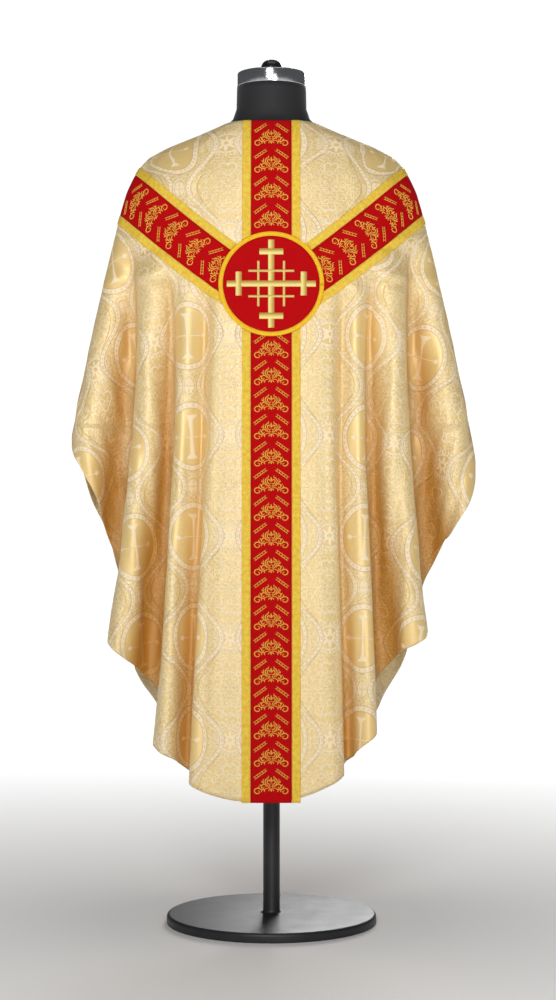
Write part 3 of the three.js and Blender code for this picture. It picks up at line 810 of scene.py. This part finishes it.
roundel = {
    "height": 1203.0,
    "radius": 97.0,
    "border": 8.3,
    "rings": 26,
    "spokes": 96,
    "fieldLift": (0.1, 1.6),
    # share of the border's width, and lift there
    "profile": [(0, 0.1), (0.02, 1.6), (0.14, 2.5), (0.34, 2.9), (0.5, 3.0), (0.66, 2.9), (0.86, 2.5),
                (0.98, 1.6), (1, 0.1)],
    "borderSteps": 180,
    "cord": (0.12, 90),  # height and number of the braid's turns
}
bands = {
    "width": 107.0,
    "braid": 16.0,
    "gap": 0.3,
    "redLift": (0.1, 1.3),
    "braidLift": (0.1, 1.7),
    "crown": (0.45, 6),  # drop at a strip's edges and how late it comes
    "across": 12,
    "step": 6.0,
}
armLine = {"start": (76.0, 1220.6), "end": (274.0, 1386.2), "bow": 4.7}
charts = {
    "columns": 22,  # columns of the panel on each side of the middle that the middle chart reads
    "rowStep": 5.0,
    "half": 110.0,
    "step": 2.5,
    "armSkip": 2,  # columns left out at the middle
    "armHalf": 56.0,
    "armStep": 2.0,
    "armLines": (-100.0, 420.0, 4.0),  # first, last and step of the lengths on an arm
}


# A chart gives the outer face of a panel by two lengths: along and across a band. It is a grid of
# points and normals that is read between its lines.
def readChart(chart, s, v):
    place = []
    for value, lines in ((s, chart["s"]), (v, chart["v"])):
        share = np.clip((value - lines[0]) / (lines[1] - lines[0]), 0, len(lines) - 1.0001)
        place.append((share.astype(int), (share - share.astype(int))[..., None]))
    (i, a), (j, b) = place
    out = []
    for grid in (chart["points"], chart["normals"]):
        top = grid[i, j] * (1 - b) + grid[i, j + 1] * b
        low = grid[i + 1, j] * (1 - b) + grid[i + 1, j + 1] * b
        out.append(top * (1 - a) + low * a)
    normal = out[1] / np.linalg.norm(out[1], axis=-1, keepdims=True)
    return out[0], normal


# Points at a lift over the cloth's outer face: P + (wall / 2 + lift)·N
def onChart(chart, s, v, lift):
    point, normal = readChart(chart, np.asarray(s, float), np.asarray(v, float))
    return point + normal * (garment["wall"] / 2 + np.asarray(lift, float))[..., None]


# Every column of a table read at new places, one column of the result for each
def readColumns(at, places, table):
    return np.stack([np.interp(at, places, table[:, k]) for k in range(table.shape[1])], axis=1)


# Column of a panel that stands at x = 0
def middleColumn(points):
    return int(np.argmin(np.abs(points[0, :, 0])))


# Chart of the stiff middle: along is the height, across is x
def middleChart(panel):
    points, normals = panel["points"], panel["normals"]
    middle = middleColumn(points)
    near = np.arange(middle - charts["columns"], middle + charts["columns"] + 1)
    step = charts["rowStep"]
    heights = np.arange(points[-1, middle, 2], points[0, middle, 2] + 1, step)
    heights = np.append(heights, heights[-1] + step)
    across = np.arange(-charts["half"], charts["half"] + 1, charts["step"])
    rising = np.concatenate([points, normals], axis=2)[::-1, near]
    level = np.stack([readColumns(heights, rising[:, c, 2], rising[:, c]) for c in range(len(near))], axis=1)
    table = np.stack([readColumns(across, row[:, 0], row) for row in level])
    table[:, :, 2] = np.minimum(heights[:, None], points[0, middle, 2])
    return {"s": heights, "v": across, "points": table[:, :, :3], "normals": table[:, :, 3:]}


# Chart of an arm: on every column of the panel the point at each distance from the arm's bowed
# axis is found, and the lines at equal distance are then divided by their length on the cloth. An
# arm begins at the roundel on the back and at the middle band on the front.
def armChart(panel, hand):
    points, normals = panel["points"], panel["normals"]
    columns = np.arange(middleColumn(points) + hand * charts["armSkip"],
                        -1 if hand < 0 else points.shape[1], hand)
    start, end = np.array(armLine["start"]), np.array(armLine["end"])
    length = np.linalg.norm(end - start)
    ahead = (end - start) / length
    aside = np.array([-ahead[1], ahead[0]])
    offset = points[:, columns][:, :, [0, 2]] * [hand, 1] - start
    share = offset @ ahead / length
    v = offset @ aside - armLine["bow"] * 4 * share * (share - 1)
    across = np.arange(-charts["armHalf"], charts["armHalf"] + 1, charts["armStep"])
    rows = np.arange(len(v))[::-1]
    place = np.stack([np.interp(across, v[::-1, c], rows) for c in range(len(columns))])
    row = np.clip(place.astype(int), 0, len(v) - 2)
    part = (place - row)[..., None]
    column = columns[:, None]
    point = points[row, column] * (1 - part) + points[row + 1, column] * part
    normal = normals[row, column] * (1 - part) + normals[row + 1, column] * part
    steps = np.linalg.norm(np.diff(point, axis=0), axis=2)
    walked = np.concatenate([np.zeros((1, len(across))), np.cumsum(steps, axis=0)])
    level = (point - [start[0] * hand, 0, start[1]]) @ np.array([ahead[0] * hand, 0, ahead[1]])
    lines = np.arange(*charts["armLines"])
    if panel["facing"] > 0:
        away, edge = np.abs(point[:, :, 0]), bands["width"] / 2
    else:
        away, edge = np.linalg.norm(point[:, :, [0, 2]] - [0, roundel["height"]], axis=2), roundel["radius"]
    table, begins, ends = [], [], []
    for j in range(len(across)):
        s = walked[:, j] - np.interp(0, level[:, j], walked[:, j])
        table.append(readColumns(lines, s, np.concatenate([point[:, j], normal[:, j]], axis=1)))
        begins.append(np.interp(edge + bands["gap"], away[:, j], s))
        ends.append(s[-1])
    table = np.stack(table, axis=1)
    return {"s": lines, "v": across, "points": table[:, :, :3], "normals": table[:, :, 3:],
            "begins": np.array(begins), "ends": np.array(ends)}


# 1 where across, along and outward run like the fingers of a right hand, else -1
def chartTurn(chart):
    i, j = len(chart["s"]) // 3, len(chart["v"]) // 2
    points = chart["points"]
    outward = np.cross(points[i, j + 1] - points[i, j], points[i + 1, j] - points[i, j])
    return 1 if outward @ chart["normals"][i, j] > 0 else -1


# Strip of a band on a chart between two distances from its axis. The lift follows a flat-topped
# profile that falls at the two edges; begins and ends hold the length where each line starts.
def addStrip(name, node, chart, edges, begins, ends, turn, lift, slotName, material):
    count = int((ends.max() - begins.min()) / bands["step"])
    share = np.linspace(0, 1, bands["across"] + 1)
    v = edges[0] + (edges[1] - edges[0]) * share
    first = np.interp(v, chart["v"], begins)
    last = np.interp(v, chart["v"], ends)
    length = first + (last - first) * np.linspace(0, 1, count + 1)[:, None]
    across = np.broadcast_to(v, length.shape)
    point, normal = readChart(chart, length, across)
    drop, power = bands["crown"]
    crown = 1 - np.abs(share * 2 - 1) ** power * drop
    inner = garment["wall"] / 2 + lift[0]
    outer = inner + (lift[1] - lift[0]) * np.broadcast_to(crown, length.shape)
    uv = np.stack([across, length], axis=2).reshape(-1, 2) * mm
    vertices, faces = shell(point, normal, inner, outer, -turn)
    return newPiece(name, vertices, faces, [node], material, np.concatenate([uv, uv]))


# Raised stroke of thread in the plane: a cubic curve through the points carries a half-round
# profile, whose width follows a power of the sine of the share of the way. Where full is below 1
# the profile's cosine and sine are raised to it, so the stroke is boxier. Its underside and its
# ends are closed.
def stroke(line, width, rise, facets=4, count=8, swell=1.0, full=1.0):
    line = np.array(line, float)
    if len(line) > 2:
        t = np.linspace(0, len(line) - 1, count + 1)
        i = np.clip(t.astype(int), 0, len(line) - 2)
        f = (t - i)[:, None]
        padded = np.vstack([2 * line[0] - line[1], line, 2 * line[-1] - line[-2]])
        a, b, c, d = (padded[i + k] for k in range(4))
        bent = (2 * a - 5 * b + 4 * c - d) * f ** 2 + (3 * b - a - 3 * c + d) * f ** 3
        path = 0.5 * (2 * b + (c - a) * f + bent)
    else:
        path = line[0] + (line[1] - line[0]) * np.linspace(0, 1, count + 1)[:, None]
    ahead = np.gradient(path, axis=0)
    ahead /= np.linalg.norm(ahead, axis=1, keepdims=True)
    aside = np.stack([-ahead[:, 1], ahead[:, 0]], axis=1)
    share = np.linspace(0, 1, len(path))
    wide = width * (1 - swell + swell * (0.28 + 0.72 * np.sin(math.pi * share) ** 0.7))
    turn = np.linspace(0, math.pi, facets)
    cosine = np.sign(np.cos(turn)) * np.abs(np.cos(turn)) ** full
    flat = path[:, None] + aside[:, None] * (wide[:, None] * cosine)[..., None]
    high = rise * (wide / width)[:, None] * np.sin(turn) ** full
    points = np.concatenate([flat, high[..., None]], axis=2)
    walked = np.concatenate([[0], np.cumsum(np.linalg.norm(np.diff(path, axis=0), axis=1))])
    uv = np.stack(np.broadcast_arrays(walked[:, None], wide[:, None] * cosine), axis=2)
    index = np.arange(len(path) * facets).reshape(len(path), facets)
    caps = [index[0, ::-1].tolist(), index[-1].tolist()]
    return points.reshape(-1, 3), tubeQuads(index) + caps, uv.reshape(-1, 2)


# Many strokes as one mesh
def gathered(parts):
    faces, start = [], 0
    for points, own, _ in parts:
        faces += [[i + start for i in face] for face in own]
        start += len(points)
    return np.concatenate([part[0] for part in parts]), faces, np.concatenate([part[2] for part in parts])


# Mirror image of a stroke, with its faces wound back to point outwards
def mirrored(part):
    points, faces, uv = part
    return points * [-1, 1, 1], [face[::-1] for face in faces], uv


# Orphrey ornament, in millimetres from its middle, up towards the neckline or the shoulder: a
# heart with a bud, scroll wings with spiral ends, leaves, and above it two slanted ladders
ornament = {
    "pitch": 49.6,
    "rise": 0.9,
    "bud": [[(0, 3.5), (0, 8), (0, 12.8)], [(0, -8), (0, -10.5), (0, -13.2)]],
    "budWidth": 1.5,
    "scrolls": [
        [(0, -8.2), (5.5, -3.6), (10.2, 2.2), (10.6, 7.6), (7.2, 11.2), (4.6, 12.6), (5.6, 15.6)],
        [(0.6, 1.6), (3.4, 0.2), (6.8, 2.6), (6.9, 6.6), (4.4, 8.4), (2.4, 6.8), (3.6, 4.8)],
        [(2.8, -7.6), (7.4, -6.6), (12.2, -9.4), (18, -9.2), (23.6, -6.6), (29.2, -8.4), (30.4, -13),
         (26.6, -16.6), (21.8, -15.6), (21.2, -12.4), (24.4, -11.4)],
        [(8.4, -4.6), (10.6, -0.6), (14.6, 0.4), (17.8, -2.8), (16.4, -6.6), (13, -6.4), (13.4, -3.8)],
    ],
    "scrollWidth": 1.05,
    "leaves": [
        [(10.8, -0.8), (13.8, 2.4), (14.6, 6.6), (13.4, 10.4)],
        [(14.6, 3.2), (16.6, 4.2), (16.8, 6.8)],
        [(17.6, -3.6), (19.4, -1.8), (20.4, 0.4)],
        [(20.8, -7.2), (22.4, -4.8), (22.2, -2.6)],
        [(11.6, -9.2), (12.4, -11.6), (11.4, -13.6)],
        [(16.4, -9.4), (17.8, -11.8), (17.2, -14)],
        [(1.4, -8.6), (3.6, -10), (5.2, -12.2)],
        [(1, -4.4), (2.6, -2.6), (4.4, -1.4)],
    ],
    "leafWidth": 0.95,
    "ladder": {"middle": (20.0, 18.6), "lean": 36.0, "length": 27.6, "apart": 4.2, "rungs": 5,
               "width": 0.62, "railRise": 0.7, "rungRise": 0.6, "rungReach": 0.84},
    "sunk": 0.05,
    "margin": 0.5,
}


# One ornament: the middle strokes, and the strokes of the right half with their mirror images
def ornamentTemplate():
    rise = ornament["rise"]
    parts = [stroke(line, ornament["budWidth"], rise, count=5) for line in ornament["bud"]]
    sides = [stroke(line, ornament["scrollWidth"], rise, count=max(8, len(line) * 2 - 1))
             for line in ornament["scrolls"]]
    sides += [stroke(line, ornament["leafWidth"], rise, count=4) for line in ornament["leaves"]]
    ladder = ornament["ladder"]
    lean = math.radians(ladder["lean"])
    ahead = np.array([math.cos(lean), -math.sin(lean)])
    aside = np.array([-ahead[1], ahead[0]])
    middle = np.array(ladder["middle"])
    rail = ahead * ladder["length"] / 2
    rung = aside * ladder["apart"] * ladder["rungReach"] / 2
    for off in (-0.5, 0.5):
        foot = middle + aside * ladder["apart"] * off
        sides.append(stroke([foot - rail, foot + rail], ladder["width"], rise * ladder["railRise"],
                            count=2, swell=0))
    for place in range(ladder["rungs"]):
        foot = middle + ahead * ladder["length"] * ((place + 0.5) / ladder["rungs"] - 0.5)
        sides.append(stroke([foot - rung, foot + rung], ladder["width"], rise * ladder["rungRise"],
                            count=1, swell=0))
    return gathered(parts + sides + [mirrored(part) for part in sides])


template = ornamentTemplate()


# Ornaments along a chart: every one is the template moved along by its place, and strokes that
# reach the roundel or the shoulder end there
def addOrnaments(name, chart, places, turn):
    points, faces, uv = template
    s = np.array(places)[:, None] + points[:, 1]
    v = np.broadcast_to(points[:, 0] * turn, s.shape)
    lift = np.broadcast_to(bands["redLift"][1] - ornament["sunk"] + points[:, 2], s.shape)
    if "begins" in chart:
        first, last = (np.interp(v, chart["v"], chart[end]) for end in ("begins", "ends"))
        s = np.clip(s, first + ornament["margin"], last - ornament["margin"])
    placed = onChart(chart, s, v, lift)
    count = len(points)
    every = [[i + k * count for i in face] for k in range(len(placed)) for face in faces]
    uvs = np.tile(uv, (len(placed), 1)) * mm
    return newPiece(name, placed.reshape(-1, 3), every, [], ornamentGold, uvs)


# Disc on the middle chart: rings and spokes round the roundel's middle, with a closed rim
def addRoundelField(chart):
    radius = roundel["radius"] - roundel["border"] - bands["gap"]
    rings = np.linspace(0, radius, roundel["rings"] + 1)[1:]
    n = roundel["spokes"]
    r, a = np.meshgrid(rings, np.linspace(0, 2 * math.pi, n, endpoint=False), indexing="ij")
    across = np.append(0, (r * np.cos(a)).ravel())
    upward = np.append(0, (r * np.sin(a)).ravel())
    low, high = roundel["fieldLift"]
    top, under = (onChart(chart, upward + roundel["height"], across, np.full(across.shape, lift))
                  for lift in (high, low))
    count = len(across)
    index = 1 + np.arange(count - 1).reshape(len(rings), n)
    after = np.roll(index, -1, axis=1)
    quads = np.stack([index[:-1], index[1:], after[1:], after[:-1]], axis=2).reshape(-1, 4)
    fan = np.stack([np.zeros(n, int), index[0], after[0]], axis=1)
    rim = np.stack([index[-1], index[-1] + count, after[-1] + count, after[-1]], axis=1)
    faces = []
    for some in (quads, fan, quads[:, ::-1] + count, fan[:, ::-1] + count, rim):
        faces += some.tolist()
    uv = np.stack([across, upward], axis=1) * mm
    return newPiece("roundelFieldCloth", np.concatenate([top, under]), faces, ["roundel_field"],
                    orphreyRed, np.concatenate([uv, uv]))


# Border braid of the roundel: a crowned profile of radius and lift carried round a circle
def addRoundelBorder(chart):
    outer = roundel["radius"]
    share, lift = np.array(roundel["profile"], float).T
    turn = np.linspace(0, 2 * math.pi, roundel["borderSteps"], endpoint=False)[:, None]
    radius = outer - roundel["border"] + roundel["border"] * share
    height, turns = roundel["cord"]
    cord = height * np.sin(turn * turns) * (lift > 1)
    points = onChart(chart, roundel["height"] + radius * np.sin(turn), radius * np.cos(turn), lift + cord)
    index = np.arange(points.shape[0] * points.shape[1]).reshape(points.shape[:2])
    up, over = np.roll(index, -1, axis=0), np.roll(index, -1, axis=1)
    both = np.roll(up, -1, axis=1)
    quads = np.stack([index, over, both, up], axis=2).reshape(-1, 4).tolist()
    uv = np.stack(np.broadcast_arrays(turn * outer, radius), axis=2).reshape(-1, 2) * mm
    return newPiece("roundelBorderBraid", points.reshape(-1, 3), quads, ["roundel_border"],
                    borderBraid, uv)


# Cross of padded satin bars: width, length, distance from the middle, rise of the uprights and
# rise of the crossbars, which run over them
crossLook = {
    "bars": [(11.8, 163.0, 0, 1.7, 2.1), (11.8, 44.0, 59.5, 2.4, 2.5), (4.4, 84.0, 23.5, 1.1, 2.6)],
    "base": 1.65,
    "facets": 9,
    "step": 2,
    "full": 0.62,
}


# A bar is a straight stroke of full profile; each pair stands on both sides of the middle
def addCross(chart):
    parts = []
    for wide, length, away, lowRise, highRise in crossLook["bars"]:
        half = length / 2
        for at in (-away, away) if away else (0,):
            for start, end, rise in (((at, -half), (at, half), lowRise), ((half, at), (-half, at), highRise)):
                parts.append(stroke([start, end], wide / 2, rise, facets=crossLook["facets"],
                                    count=int(length / crossLook["step"]), swell=0, full=crossLook["full"]))
    points, faces, uv = gathered(parts)
    placed = onChart(chart, points[:, 1] + roundel["height"], points[:, 0], points[:, 2] + crossLook["base"])
    return newPiece("roundelCrossEmbroidery", placed, faces, ["roundel_cross"],
                    crossGold, uv * mm)


# Turned piece: a profile of radius and height, pole to pole, carried round the upright axis
def addTurned(name, node, profile, sides, material):
    profile = np.array(profile, float)
    turn = np.linspace(0, 2 * math.pi, sides, endpoint=False)
    radius, height = profile[1:-1, :1], profile[1:-1, 1:]
    rings = np.stack(np.broadcast_arrays(radius * np.cos(turn), radius * np.sin(turn), height), axis=2)
    points, faces = skinOverRings(rings, profile[0, 1], profile[-1, 1])
    return newPiece(name, points, faces, [node], material)


# Rounded corner between two profile points: points of an arc of a circle
def rounded(centre, radius, first, last, count=6):
    turn = np.radians(np.linspace(first, last, count))
    return [(centre[0] + radius * math.cos(a), centre[1] + radius * math.sin(a)) for a in turn]


# The rings of the body are its height and its half width and half depth there
formLook = {
    "rings": [(838, 120, 80), (846, 168, 108), (900, 180, 116), (1000, 172, 110), (1100, 160, 98),
              (1200, 168, 106), (1300, 178, 108), (1380, 188, 98), (1430, 196, 84), (1464.45, 197, 70),
              (1485.45, 168, 62), (1500.45, 130, 58), (1515.45, 92, 56), (1532, 74, 62), (1552, 67, 65),
              (1594.7, 66, 66)],
    "ringStep": 9.0,
    "sides": 96,
    "groove": (0.006, 0.03),  # depth of the seam's groove and its width
    "joint": 0.3,
    "cap": (65.0, 29.0),
    "capLip": (14.0, 24.0),
    "knob": (20.5, 1647.0),
    "pole": 16.0,
    "base": (200.0, 18.0),
}


# Body of the form: ellipses whose half axes follow the ring table, with a shallow seam groove down
# the middle of the back and the front
def addFormBody():
    table = np.array(formLook["rings"], float)
    z = np.unique(np.concatenate([np.arange(table[0, 0], 1590, formLook["ringStep"]), table[:, 0]]))
    across, depth = (np.interp(z, table[:, 0], table[:, k])[:, None] for k in (1, 2))
    turn = np.linspace(0, 2 * math.pi, formLook["sides"], endpoint=False)
    deep, wide = formLook["groove"]
    groove = 1 - deep * np.exp(-(np.cos(turn) / wide) ** 2)
    rings = np.broadcast_arrays(across * np.cos(turn), depth * np.sin(turn) * groove, z[:, None])
    points, faces = skinOverRings(np.stack(rings, axis=2), z[0], z[-1])
    newPiece("formBody", points, faces, ["form_torso"], formCover)


# Cap: a drum with rounded lower and upper edges and a dished lid; its top is returned
def addNeckCap():
    radius, height = formLook["cap"]
    outerLip, innerLip = formLook["capLip"]
    low = formLook["rings"][-1][0] + formLook["joint"]
    top = low + height
    profile = [
        (0, low),
        *rounded((radius - 1, low + 1), 1, -90, 0, 4),
        *rounded((radius - 3, top - 5.5), 3, 0, 75),
        (radius - outerLip, top - 1.2),
        (innerLip, top - 0.3),
        (0, top),
    ]
    addTurned("neckCapMetal", "neck_cap", profile, 128, capMetal)
    return top


# Knob: a flat foot and a dome whose radius is the cosine of its angle, a little flattened
def addCapKnob(capTop):
    radius, top = formLook["knob"]
    low = capTop + formLook["joint"]
    foot = low + 5
    dome = [(radius * math.cos(a) ** 0.7, foot + (top - foot) * math.sin(a))
            for a in np.radians(np.linspace(0, 84, 16))]
    edge = rounded((radius - 1.5, low + 1.5), 1.5, -60, 0, 4)
    profile = [(0, low), (radius - 4, low), *edge, *dome, (0, top)]
    addTurned("capKnob", "cap_knob", profile, 96, knobBlack)


# Stand: a round base with rounded edges, a fillet, and the pole up to just under the body
def addStand():
    base, thick = formLook["base"]
    pole = formLook["pole"]
    top = formLook["rings"][0][0] - formLook["joint"]
    profile = [
        (0, 0),
        (base - 3, 0),
        *rounded((base - 2, 2), 2, -60, 0, 4),
        *rounded((base - 6, thick - 6), 6, 0, 90, 8),
        (pole + 8, thick),
        *rounded((pole + 6, thick + 6), 6, -90, -180, 5),
        (pole, 400),
        (pole, top - 1),
        (pole - 1, top),
        (0, top),
    ]
    addTurned("standTurned", "stand", profile, 128, standPaint)


# A red band and the galloon along each of its edges
def addBand(chart, name, node, begins, ends, turn, sides):
    half = bands["width"] / 2
    red = half - bands["braid"]
    run = (begins, ends, turn)
    made = [addStrip(name + "Red", "orphrey_" + node, chart, (-red, red), *run, bands["redLift"],
                     "orphrey_red", orphreyRed)]
    for side, edges in zip(sides, ((-half, -red - bands["gap"]), (red + bands["gap"], half))):
        made.append(addStrip(name + "Braid" + side.title(), "braid_" + node + "_" + side, chart, edges, *run,
                             bands["braidLift"], "galloon_braid", galloon))
    return made


# Length on the middle chart where the roundel's circle crosses a line at distance v from the middle
def circleAt(chart, sign):
    v = np.minimum(np.abs(chart["v"]), roundel["radius"])
    return roundel["height"] + sign * np.sqrt((roundel["radius"] + bands["gap"]) ** 2 - v * v)


# Where the ornaments' middles are: heights on the middle bands, lengths on the arms
ornamentPlaces = {
    "backUpper": 1481.0 - 52.4 * np.arange(4),
    "backLower": 736.0 + ornament["pitch"] * np.arange(-9, 8),
    "front": 1442.0 - ornament["pitch"] * np.arange(23),
    "backArm": 30.0 + 55.0 * np.arange(5),
    "frontArm": 20.0 + ornament["pitch"] * np.arange(5),
}


# All bands of one panel: the back's column is parted by the roundel, the front's runs through
def addBands(panel, word):
    chart = middleChart(panel)
    turn = chartTurn(chart)
    low = np.full(len(chart["v"]), chart["s"][0])
    high = np.full(len(chart["v"]), chart["points"][-1, len(chart["v"]) // 2, 2])
    name = "orphrey" + word.title()
    if word == "back":
        columns = [("Upper", "back_upper", circleAt(chart, 1), high),
                   ("Lower", "back_lower", low, circleAt(chart, -1))]
    else:
        columns = [("", "front", low, high)]
    pieces = []
    for part, node, begins, ends in columns:
        pieces += addBand(chart, name + part, node, begins, ends, turn, ("left", "right"))
    for part, *_ in columns:
        pieces.append(addOrnaments(name + part + "Ornament", chart, ornamentPlaces[word + part], turn))
    for hand, side in ((-1, "left"), (1, "right")):
        arm = armChart(panel, hand)
        armTurn = chartTurn(arm)
        armName = name + side.title()
        pieces += addBand(arm, armName, word + "_" + side, arm["begins"], arm["ends"], armTurn,
                          ("low", "high"))
        pieces.append(addOrnaments(armName + "Ornament", arm, ornamentPlaces[word + "Arm"], armTurn))
    return chart, pieces


back = addPanel("panelBackCloth", backLeft, backRight, "panel_back", 11)
front = addPanel("panelFrontCloth", frontLeft, frontRight, "panel_front", 23)
backChart, backPieces = addBands(back, "back")
frontChart, frontPieces = addBands(front, "front")
print("orphreys and ornaments done")
backPieces += [addRoundelField(backChart), addRoundelBorder(backChart), addCross(backChart)]
print("roundel done")
addFormBody()
addCapKnob(addNeckCap())
addStand()
print("form and stand done")

# The floor is lit by the lamps near the stand and turns as white as the air further off
studio = {
    "half": 40.0,
    "near": 300.0,  # where the floor begins to turn white, in millimetres, and over what distance
    "blend": 2400.0,
    "white": 1.05,
    "air": 0.1,
    "airTone": (0.95, 0.96, 1.0, 1),
    "lamps": {  # place, aim, size and power
        "keySoftbox": ((-0.5, -4.7, 2.5), (0, 0, 0.95), (1.1, 1.1), 108),
        "fillSoftbox": ((0.9, -4.6, 1.2), (0, 0, 0.9), (0.9, 1.3), 26),
        "topSoftbox": ((0, -0.6, 3.8), (0, 0, 1.2), (2.4, 1.4), 9),
        "rearSoftbox": ((0.7, 4.6, 2.4), (0, 0, 1.0), (1.6, 1.6), 92),
    },
    "eye": (0.0124, -4.0, 0.806),
    "halfHeight": 0.956,
}


# Wide pale floor: a flat grid whose finish gives way to plain white with the distance
def addFloor():
    side = np.linspace(-studio["half"], studio["half"], 9)
    x, y = np.meshgrid(side, side)
    points = np.stack([x, y, np.zeros_like(x)], axis=2).reshape(-1, 3)
    mesh = bpy.data.meshes.new("floor")
    mesh.from_pydata(points.tolist(), [], quadGrid(len(side), len(side), 0, True).tolist())
    floor = bpy.data.objects.new("floor", mesh)
    bpy.context.scene.collection.objects.link(floor)
    paper = Finish("paleFloor")
    x, y, z = paper.place()
    far = ((distance(x, y) - studio["near"]) / studio["blend"]).clamped()
    grain = paper.noise(paper.joined(x, y, z), 0.003, 2)
    color = paper.mixed(grain, tone(242, 241, 239), tone(244, 243, 241))
    color = paper.mixed(far, color, tone(40, 40, 40))
    paper.shader.inputs["Emission Color"].default_value = (1, 1, 1, 1)
    paper.feed(paper.shader.inputs["Emission Strength"], far * studio["white"])
    mesh.materials.append(paper.finished(color, grain * 0.1 + 0.8))


# The air is white where the picture looks past the form, and dim as a light on it
def addAir():
    world = bpy.data.worlds.new("studioAir")
    bpy.context.scene.world = world
    world.use_nodes = True
    nodes, links = world.node_tree.nodes, world.node_tree.links
    dim, white = nodes["Background"], nodes.new("ShaderNodeBackground")
    dim.inputs["Color"].default_value = studio["airTone"]
    dim.inputs["Strength"].default_value = studio["air"]
    white.inputs["Color"].default_value = (1, 1, 1, 1)
    white.inputs["Strength"].default_value = studio["white"]
    ray = nodes.new("ShaderNodeLightPath")
    mix = nodes.new("ShaderNodeMixShader")
    links.new(ray.outputs["Is Camera Ray"], mix.inputs[0])
    links.new(dim.outputs[0], mix.inputs[1])
    links.new(white.outputs[0], mix.inputs[2])
    links.new(mix.outputs[0], nodes["World Output"].inputs[0])


def addLamps():
    for name, (place, aim, size, power) in studio["lamps"].items():
        light = bpy.data.lights.new(name, "AREA")
        light.energy = power
        light.shape = "RECTANGLE"
        light.size, light.size_y = size
        lamp = bpy.data.objects.new(name, light)
        bpy.context.scene.collection.objects.link(lamp)
        lamp.location = place
        lamp.rotation_euler = (Vector(aim) - Vector(place)).to_track_quat("-Z", "Y").to_euler()


# The camera stands level in front of the middle of the picture; half the picture's height covers
# halfHeight at the shoulder plane
def addCamera():
    camera = bpy.data.cameras.new("camera")
    camera.sensor_width = 36.0
    camera.lens = camera.sensor_width / 2 * -studio["eye"][1] / studio["halfHeight"]
    eye = bpy.data.objects.new("camera", camera)
    bpy.context.scene.collection.objects.link(eye)
    eye.location = studio["eye"]
    eye.rotation_euler = (math.pi / 2, 0, 0)
    bpy.context.scene.camera = eye


addFloor()
addLamps()
addAir()
addCamera()
bpy.context.scene.view_settings.view_transform = "Standard"
print("studio and camera done")
